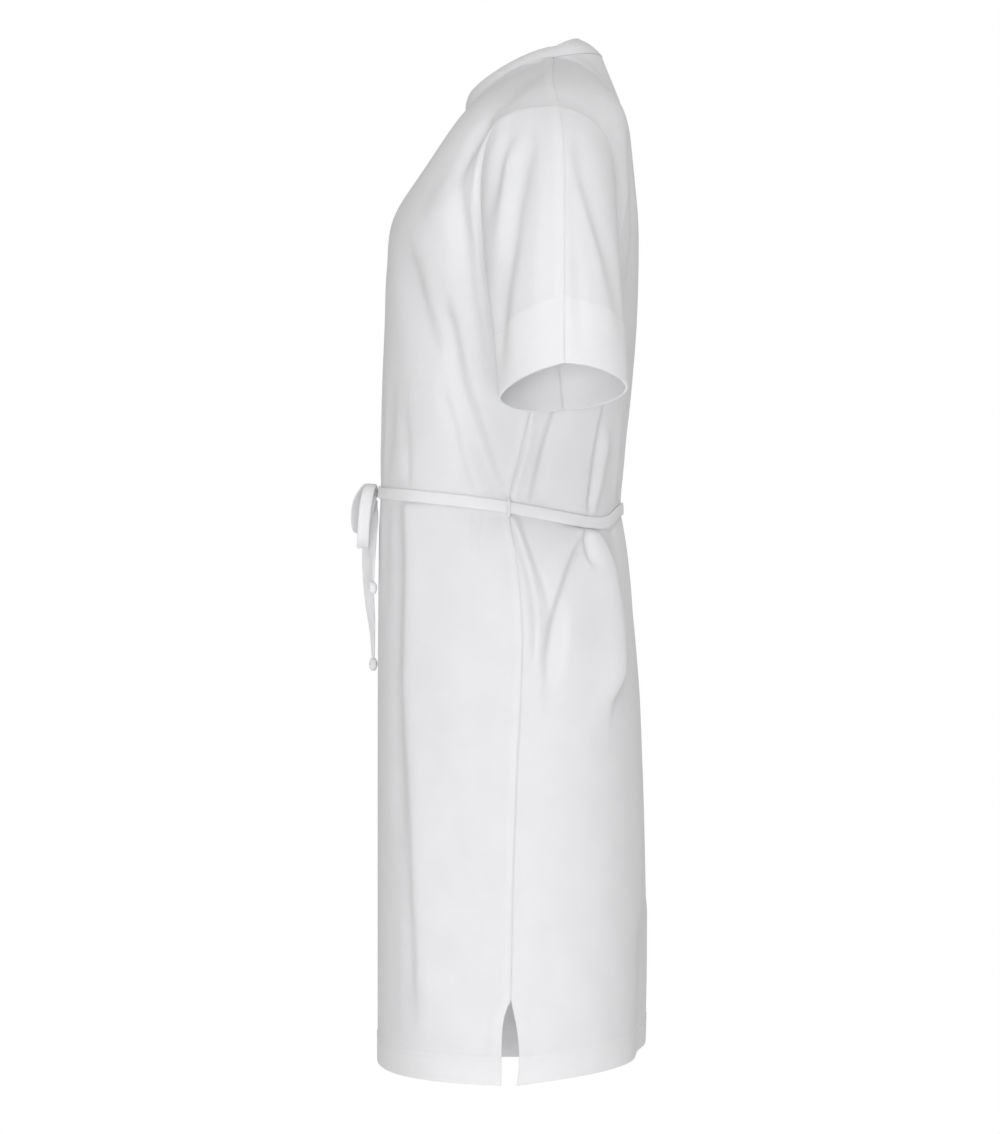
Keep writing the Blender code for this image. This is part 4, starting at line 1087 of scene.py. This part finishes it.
# %% Press the seams and make the cloth
TOP_FRONT = Seam(0.0, 1.5)
TOP_BACK = Seam(0.9, 0.0)
SIDE_FRONT = Seam(0.0, 0.6)
SIDE_BACK = Seam(0.25, 0.0)
ARMHOLE = Seam(0.3, 0.4)
NECK = Seam(0.0, 0.0)
SEAMS = {
    "front": {"left": SIDE_FRONT, "right": SIDE_FRONT, "top": TOP_FRONT},
    "back": {"left": SIDE_BACK, "right": SIDE_BACK, "top": TOP_BACK},
    "neckband": {"bottom": NECK},
}
for half, top, under in (("front", TOP_FRONT, SIDE_FRONT), ("back", TOP_BACK, SIDE_BACK)):
    for word in ("left", "right"):
        SEAMS[f"sleeve_{word}_{half}"] = {"left": top, "right": under, "bottom": ARMHOLE}
flat_pieces = dict(pieces)
cloth = {}
for name in pieces:
    pieces[name] = relieved(pieces[name], SEAMS[name])
    cloth[name] = make_shell(pieces[name])
    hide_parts(name)
print("made", sum(len(piece.data.polygons) for piece in cloth.values()), "faces of cloth")

# %% [markdown]
# The belt is a narrow tube of jersey, turned and pressed flat, so its edges are soft. A
# strap is swept along a centre line with its width facing a given way. A bevelled curve
# could do it, but rings of points take their exact place from the cloth below.

# %% Straps
STRAP_CORNER = 0.42
STRAP_ROUNDING = 0.75
STRAP_AROUND = 16
STRAP_MAP_STEP = 0.0015


def unit(vectors):
    return vectors / np.linalg.norm(vectors, axis=-1, keepdims=True)


def strap_points(middle, facing, widths, thickness, ring):
    """Rings of points round a centre line: a flat section with rounded edges."""
    ahead = np.roll(middle, -1, 0) - np.roll(middle, 1, 0) if ring else np.gradient(middle, axis=0)
    ahead = unit(ahead)
    facing = unit(facing - np.sum(facing * ahead, axis=-1, keepdims=True) * ahead)
    normal = np.cross(ahead, facing)
    turn = np.linspace(0, 2 * math.pi, STRAP_AROUND + 1)
    wide = np.sign(np.cos(turn)) * np.abs(np.cos(turn)) ** STRAP_CORNER
    thick = np.sign(np.sin(turn)) * np.abs(np.sin(turn)) ** STRAP_ROUNDING
    half = np.broadcast_to(np.asarray(widths, float), (len(middle),))[:, None, None] / 2
    return (
        middle[:, None]
        + facing[:, None] * half * wide[None, :, None]
        + normal[:, None] * (thickness / 2) * thick[None, :, None]
    )


def make_strap(name, points, ring=False):
    if ring:
        points = np.concatenate([points, points[:1]])
    columns = points.shape[1]
    map_x, map_y = np.meshgrid(np.arange(columns) * STRAP_MAP_STEP, run_along(points[:, 0]))
    tube = bmesh.new()
    doubled = tube.verts.layers.float.new("doubled")
    for vertex, _, _ in lay_grid(tube, points, map_x, map_y):
        vertex[doubled] = 1.0
    bmesh.ops.remove_doubles(tube, verts=list(tube.verts), dist=1e-7)
    bmesh.ops.holes_fill(tube, edges=[edge for edge in tube.edges if edge.is_boundary], sides=0)
    strap = finish_mesh(tube, name, TIE_JERSEY, edge_angle=60)
    return strap


print("strap", BELT_WIDTH, "m wide and", BELT_THICKNESS, "m thick")

# %% [markdown]
# The belt lies on the waist. Its centre line is taken from the panels' own points, moved
# out by a small gap and half of its thickness, so it follows every turn of the cloth.

# %% Belt
low_row, high_row = (
    int(np.argmin(np.abs(LEVELS - BELT_BASE_Z - half))) for half in (-BELT_WIDTH / 2, BELT_WIDTH / 2)
)


def round_waist(grids, row):
    """One row of the front and of the back, joined into a ring."""
    return np.concatenate([grids[0][row], grids[1][row, ::-1][1:-1]])


waist_points = [flat_pieces[name].points for name in ("front", "back")]
waist_normals = [flat_pieces[name].normals for name in ("front", "back")]
lower_edge = round_waist(waist_points, low_row)
upper_edge = round_waist(waist_points, high_row)
off_waist = unit(round_waist(waist_normals, low_row) + round_waist(waist_normals, high_row))
belt_line = (lower_edge + upper_edge) / 2 + off_waist * (BELT_GAP + BELT_THICKNESS / 2)
belt_girth = float(run_along(np.concatenate([belt_line, belt_line[:1]]))[-1])
belt_rings = strap_points(belt_line, upper_edge - lower_edge, BELT_WIDTH, BELT_THICKNESS, True)
belt = make_strap("belt_strap", belt_rings, ring=True)
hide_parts("belt")
print("belt girth", round(belt_girth, 3), "m")

# %% [markdown]
# A small chain of thread at each side seam keeps the belt at the waist. It is swept like
# the belt itself, from the cloth above the belt over it to the cloth below.

# %% Thread loops
THREAD_LOOP_WIDTH = 0.0030
THREAD_LOOP_THICKNESS = 0.0012
THREAD_LOOP_STEPS = 24


def thread_loop(hand, word):
    """A flat loop that starts on the cloth below the belt, passes over it and ends above it."""
    column = -1 if hand > 0 else 0
    panel = flat_pieces["front"]
    normal = unit(panel.normals[low_row, column] + panel.normals[high_row, column])
    seam = panel.points[:, column]
    near = BELT_GAP + THREAD_LOOP_THICKNESS / 2
    far = near + BELT_THICKNESS + BELT_GAP
    reach = (seam[high_row] - seam[low_row]) / 2
    centre = (seam[high_row] + seam[low_row]) / 2
    marks = [(-1.55, near), (-1.12, far * 0.8), (-0.8, far), (0.8, far), (1.12, far * 0.8), (1.55, near)]
    route = np.array([centre + reach * share + normal * out for share, out in marks])
    middle = through(np.arange(len(route)), route, np.linspace(0, len(route) - 1, THREAD_LOOP_STEPS))
    across = np.tile(np.cross(normal, (0.0, 0.0, 1.0)), (THREAD_LOOP_STEPS, 1))
    rings = strap_points(middle, across, THREAD_LOOP_WIDTH, THREAD_LOOP_THICKNESS, False)
    made = make_strap(f"thread_loop_{word}", rings)
    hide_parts(f"belt_loop_{word}")
    return made.name


print("thread loops", thread_loop(1, "left"), thread_loop(-1, "right"))

# %% [markdown]
# The bow hangs from its knot: two drooping loops, and two tails of different lengths that
# each end in a small knot. Their routes are those of the solids, with more and rounder
# rings along them.

# %% Bow
RIBBON_THICKNESS = 0.0020
KNOT_SIZE = (0.015, 0.012, 0.015)
END_KNOT_SIZE = (0.009, 0.008, 0.0125)
STRAIGHT_OUT = 0.003
HALF_SPREAD = 0.004
TAIL_SPREAD = 0.0035
LEFT_LOOP = [
    (0.0175, -0.1690, -0.3905),
    (0.0300, -0.1705, -0.3945),
    (0.0390, -0.1730, -0.4070),
    (0.0425, -0.1750, -0.4270),
    (0.0405, -0.1758, -0.4430),
    (0.0345, -0.1762, -0.4490),
    (0.0295, -0.1760, -0.4410),
    (0.0265, -0.1745, -0.4240),
    (0.0180, -0.1705, -0.4090),
]
RIGHT_LOOP = [
    (-0.0170, -0.1715, -0.3895),
    (-0.0255, -0.1775, -0.3950),
    (-0.0315, -0.1835, -0.4070),
    (-0.0325, -0.1850, -0.4200),
    (-0.0290, -0.1820, -0.4340),
    (-0.0235, -0.1770, -0.4345),
    (-0.0205, -0.1740, -0.4230),
    (-0.0160, -0.1710, -0.4090),
]
LONG_TAIL = [
    (-0.0040, -0.1700, -0.4250),
    (-0.0030, -0.1725, -0.4500),
    (-0.0010, -0.1715, -0.4900),
    (0.0010, -0.1683, -0.5250),
    (0.0010, -0.1673, -0.5515),
]
LONG_FACINGS = [(0.10, 1.0, 0.0), (0.25, 1.0, 0.0), (0.7, 0.8, 0.0), (1.0, 0.35, 0.0)]
SHORT_TAIL = [
    (0.0120, -0.1671, -0.4200),
    (0.0240, -0.1670, -0.4430),
    (0.0335, -0.1669, -0.4640),
    (0.0345, -0.1668, -0.4800),
]
SHORT_FACINGS = [(0.3, 1.0, 0.0), (0.8, 0.55, 0.0), (0.95, 0.30, 0.0)]
TAPER = [1.0, 1.0, 1.0, 1.0, 1.0, 0.96, 0.72, 0.5]
RIBBON_STEPS = 70

knot_y = (belt_line[:, 1] - BELT_THICKNESS / 2).min() - SEAM_GAP - KNOT_SIZE[1] / 2
knot_z = BELT_LINE[0].left
lengths = {}


def ribbon(name, route, facings, widths):
    """A strap along the route, turned to the facings and as wide as the widths say."""
    route = np.array(route)
    knots = run_along(route)
    share = np.linspace(0, 1, RIBBON_STEPS)
    middle = through(knots / knots[-1], route, share)
    facing = through(np.linspace(0, 1, len(facings)), facings, share)
    width = through(np.linspace(0, 1, len(widths)), widths, share) * BELT_WIDTH
    made = make_strap(f"{name}_ribbon", strap_points(middle, facing, width, RIBBON_THICKNESS, False))
    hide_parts(name)
    lengths[name] = float(run_along(middle)[-1])
    return made


ribbons = {}
side_x = KNOT_SIZE[0] / 2 + SEAM_GAP
for name, route, facing in (
    ("bow_loop_left", LEFT_LOOP, (0.0, 1.0, 0.0)),
    ("bow_loop_right", RIGHT_LOOP, (-0.65, 0.75, 0.0)),
):
    hand = math.copysign(1.0, route[0][0])
    start = [(hand * x, knot_y, knot_z + HALF_SPREAD) for x in (side_x, side_x + STRAIGHT_OUT)]
    end = [(hand * x, knot_y, knot_z - HALF_SPREAD) for x in (side_x + STRAIGHT_OUT, side_x)]
    ribbons[name] = ribbon(name, [*start, *route, *end], [facing, facing], [1.0, 1.0])
under_z = knot_z - KNOT_SIZE[2] / 2 - SEAM_GAP
for name, x, tail, facings in (
    ("tie_tail_long", -TAIL_SPREAD, LONG_TAIL, LONG_FACINGS),
    ("tie_tail_short", TAIL_SPREAD, SHORT_TAIL, SHORT_FACINGS),
):
    start = [(x, knot_y, z) for z in (under_z, under_z - STRAIGHT_OUT)]
    ribbons[name] = ribbon(name, [*start, *tail], facings, TAPER)
print("ribbon lengths", {name: round(length, 3) for name, length in lengths.items()})

# %% [markdown]
# A tight knot is a rounded lump wound round with the strap. Tying a real strap would take
# a simulation, so each knot is a ball pressed towards a box, and two soft grooves that
# run slanting round it mark the turns.

# %% Knots
GROOVE_SHARE = 0.10
NARROWING = 0.16


def knot(name, node, centre, size, slant, turns, boxiness):
    """A rounded lump: boxiness 2 is a ball, and more of it gives fuller corners."""
    lump = bmesh.new()
    doubled = lump.verts.layers.float.new("doubled")
    bmesh.ops.create_uvsphere(lump, u_segments=40, v_segments=28, radius=1.0)
    cloth_map = lump.loops.layers.uv.new("cloth")
    for vertex in lump.verts:
        x, y, z = vertex.co
        boxy = 1 / (abs(x) ** boxiness + abs(y) ** boxiness + abs(z) ** boxiness) ** (1 / boxiness)
        swing = math.cos(math.pi * turns * (z + slant * x)) ** 2
        groove = 1 - GROOVE_SHARE * (1 - swing) ** 3
        end = 1 - NARROWING * abs(z) ** 3
        vertex.co = (
            centre[0] + x * boxy * groove * end * size[0] / 2,
            centre[1] + y * boxy * groove * size[1] / 2,
            centre[2] + z * boxy * size[2] / 2,
        )
        vertex[doubled] = 1.0
        for loop in vertex.link_loops:
            loop[cloth_map].uv = (x * size[0], z * size[2])
    made = finish_mesh(lump, name, TIE_JERSEY, edge_angle=80)
    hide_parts(node)
    return made


bow_centre = knot(
    "bow_centre", "bow_knot", (0.0, knot_y, knot_z), KNOT_SIZE, slant=0.35, turns=1.5, boxiness=3.2
)
drop = END_KNOT_SIZE[2] / 2 + SEAM_GAP
for name, node, tail in (
    ("tail_end_long", "end_knot_long", LONG_TAIL),
    ("tail_end_short", "end_knot_short", SHORT_TAIL),
):
    x, y, z = tail[-1]
    knot(name, node, (x, y, z - drop), END_KNOT_SIZE, slant=0.8, turns=1.0, boxiness=2.2)
print("bow's knot at", round(float(knot_y), 4), knot_z)

# %% [markdown]
# A twin needle sews the hem from outside: two rows of stitches, 2.5 and 2.1 cm above the
# edge. Beside each slit one row runs up 1.2 cm from its edge and turns in above its top.
# Each stitch is a short raised thread that has sunk into the cloth a little, so it is
# built as a small bar lying in the surface. A texture could draw them, but bars catch the
# light along the hem as thread does.

# %% Stitches
STITCH_LENGTH = 0.0024
STITCH_GAP = 0.0008
THREAD = 0.00045
STITCH_TAPER = (0.8, 0.6)
FIRST_STITCH = 0.001
TWIN_SPACING = 0.0038
TOP_ROW = HEM_DEPTH - 0.0010
SLIT_FACING = 0.012
SLIT_ROUTE = [
    (SLIT_FACING, HEM_Z + HEM_DEPTH),
    (SLIT_FACING, SLIT_TOP_Z),
    (0.0012, SLIT_TOP_Z + 0.011),
]
SLIT_ROUTE_AT = (0, 0.82, 1)
SLIT_STEPS = 60
THREAD_WHITE = plain_material("sewing_thread", (0.80, 0.80, 0.81), 0.6)


def read_line(at, place, values):
    return np.array([np.interp(at, place, values[:, axis]) for axis in range(3)])


def on_grid(grid, row, column):
    """The grid's values between its rows and columns."""
    i = np.clip(np.floor(row).astype(int), 0, grid.shape[0] - 2)
    j = np.clip(np.floor(column).astype(int), 0, grid.shape[1] - 2)
    a = (row - i)[:, None]
    b = (column - j)[:, None]
    low = grid[i, j] * (1 - b) + grid[i, j + 1] * b
    high = grid[i + 1, j] * (1 - b) + grid[i + 1, j + 1] * b
    return low * (1 - a) + high * a


def sew(stitches, line, normals):
    """Lay one bar after another along the line."""
    place = run_along(line)
    slimmer_length, slimmer_width = STITCH_TAPER
    for start in np.arange(FIRST_STITCH, place[-1] - STITCH_LENGTH, STITCH_LENGTH + STITCH_GAP):
        marks = [start, start + STITCH_LENGTH / 2, start + STITCH_LENGTH]
        head, middle, foot = (read_line(mark, place, line) for mark in marks)
        out = unit(read_line(marks[1], place, normals))
        along = unit(foot - head)
        across = np.cross(out, along)
        bar = bmesh.ops.create_cube(stitches, size=1.0)["verts"]
        for vertex in bar:
            short, slim = (slimmer_length, slimmer_width) if vertex.co.z > 0 else (1.0, 1.0)
            offset = along * (vertex.co.x * STITCH_LENGTH * short)
            offset = offset + across * (vertex.co.y * THREAD * slim) + out * (vertex.co.z * THREAD)
            vertex.co = middle + offset


def hem_row(item, height):
    """Places and directions of a row of stitches at one height above the hem's edge."""
    y = distances(item.points)[1]
    columns = np.arange(item.points.shape[1], dtype=float)
    rows = np.array([np.interp(height, y[:, j], np.arange(len(y))) for j in range(len(columns))])
    return on_grid(item.points, rows, columns), on_grid(item.normals, rows, columns)


def slit_row(item, edge):
    """Places and directions of the row of stitches beside one slit."""
    x = distances(item.points)[0]
    away = x if edge == "left" else x[:, -1:] - x
    route = np.array(SLIT_ROUTE)
    share = np.linspace(0, 1, SLIT_STEPS)
    place = through(SLIT_ROUTE_AT, route, share)
    place[:, 0] = np.interp(share, SLIT_ROUTE_AT, route[:, 0])
    rows = np.interp(place[:, 1], LEVELS, np.arange(len(LEVELS)))
    columns = []
    for row, distance in zip(rows, place[:, 0]):
        line = away[int(round(row))]
        order = np.argsort(line)
        columns.append(np.interp(distance, line[order], order.astype(float)))
    columns = np.array(columns)
    return on_grid(item.points, rows, columns), on_grid(item.normals, rows, columns)


for name in ("front", "back"):
    stitches = bmesh.new()
    for height in (TOP_ROW, TOP_ROW - TWIN_SPACING):
        sew(stitches, *hem_row(pieces[name], height))
    for edge in ("left", "right"):
        sew(stitches, *slit_row(pieces[name], edge))
    finish_mesh(stitches, f"{name}_hem_stitches", THREAD_WHITE)

# %% [markdown]
# The cut of each piece follows from its own grid: the widest row, the longest column and
# the sum of the small faces. It is the cloth that shows. The turn-ups inside the hems and
# the seam allowances would be added to it when the pieces are cut. The grid without its
# pressed seams is measured, as cloth lies flat before it is sewn.

# %% Flat sizes


def flat_cut(points):
    """Width, length and area of a grid when it is laid flat."""
    x, y = distances(points)
    one = points[1:, 1:] - points[:-1, :-1]
    other = points[1:, :-1] - points[:-1, 1:]
    area = np.linalg.norm(np.cross(one, other), axis=-1).sum() / 2
    return float(x[:, -1].max()), float(y[-1].max()), float(area)


def declare(piece, size, area=None):
    print(piece.name, "cut", [round(side, 3) for side in size], "m, area", round(area or 0, 4))


for name, made in cloth.items():
    width, length, area = flat_cut(flat_pieces[name].points)
    held = "stretched" if name == "neckband" else "hung"
    declare(made, (width, length), area)
declare(belt, (BELT_WIDTH, belt_girth), BELT_WIDTH * belt_girth)
for name, made in ribbons.items():
    held = "folded" if "loop" in name else "hung"
    share = 1.0 if "loop" in name else float(np.mean(TAPER))
    area = BELT_WIDTH * lengths[name] * share
    declare(made, (BELT_WIDTH, lengths[name]), area)
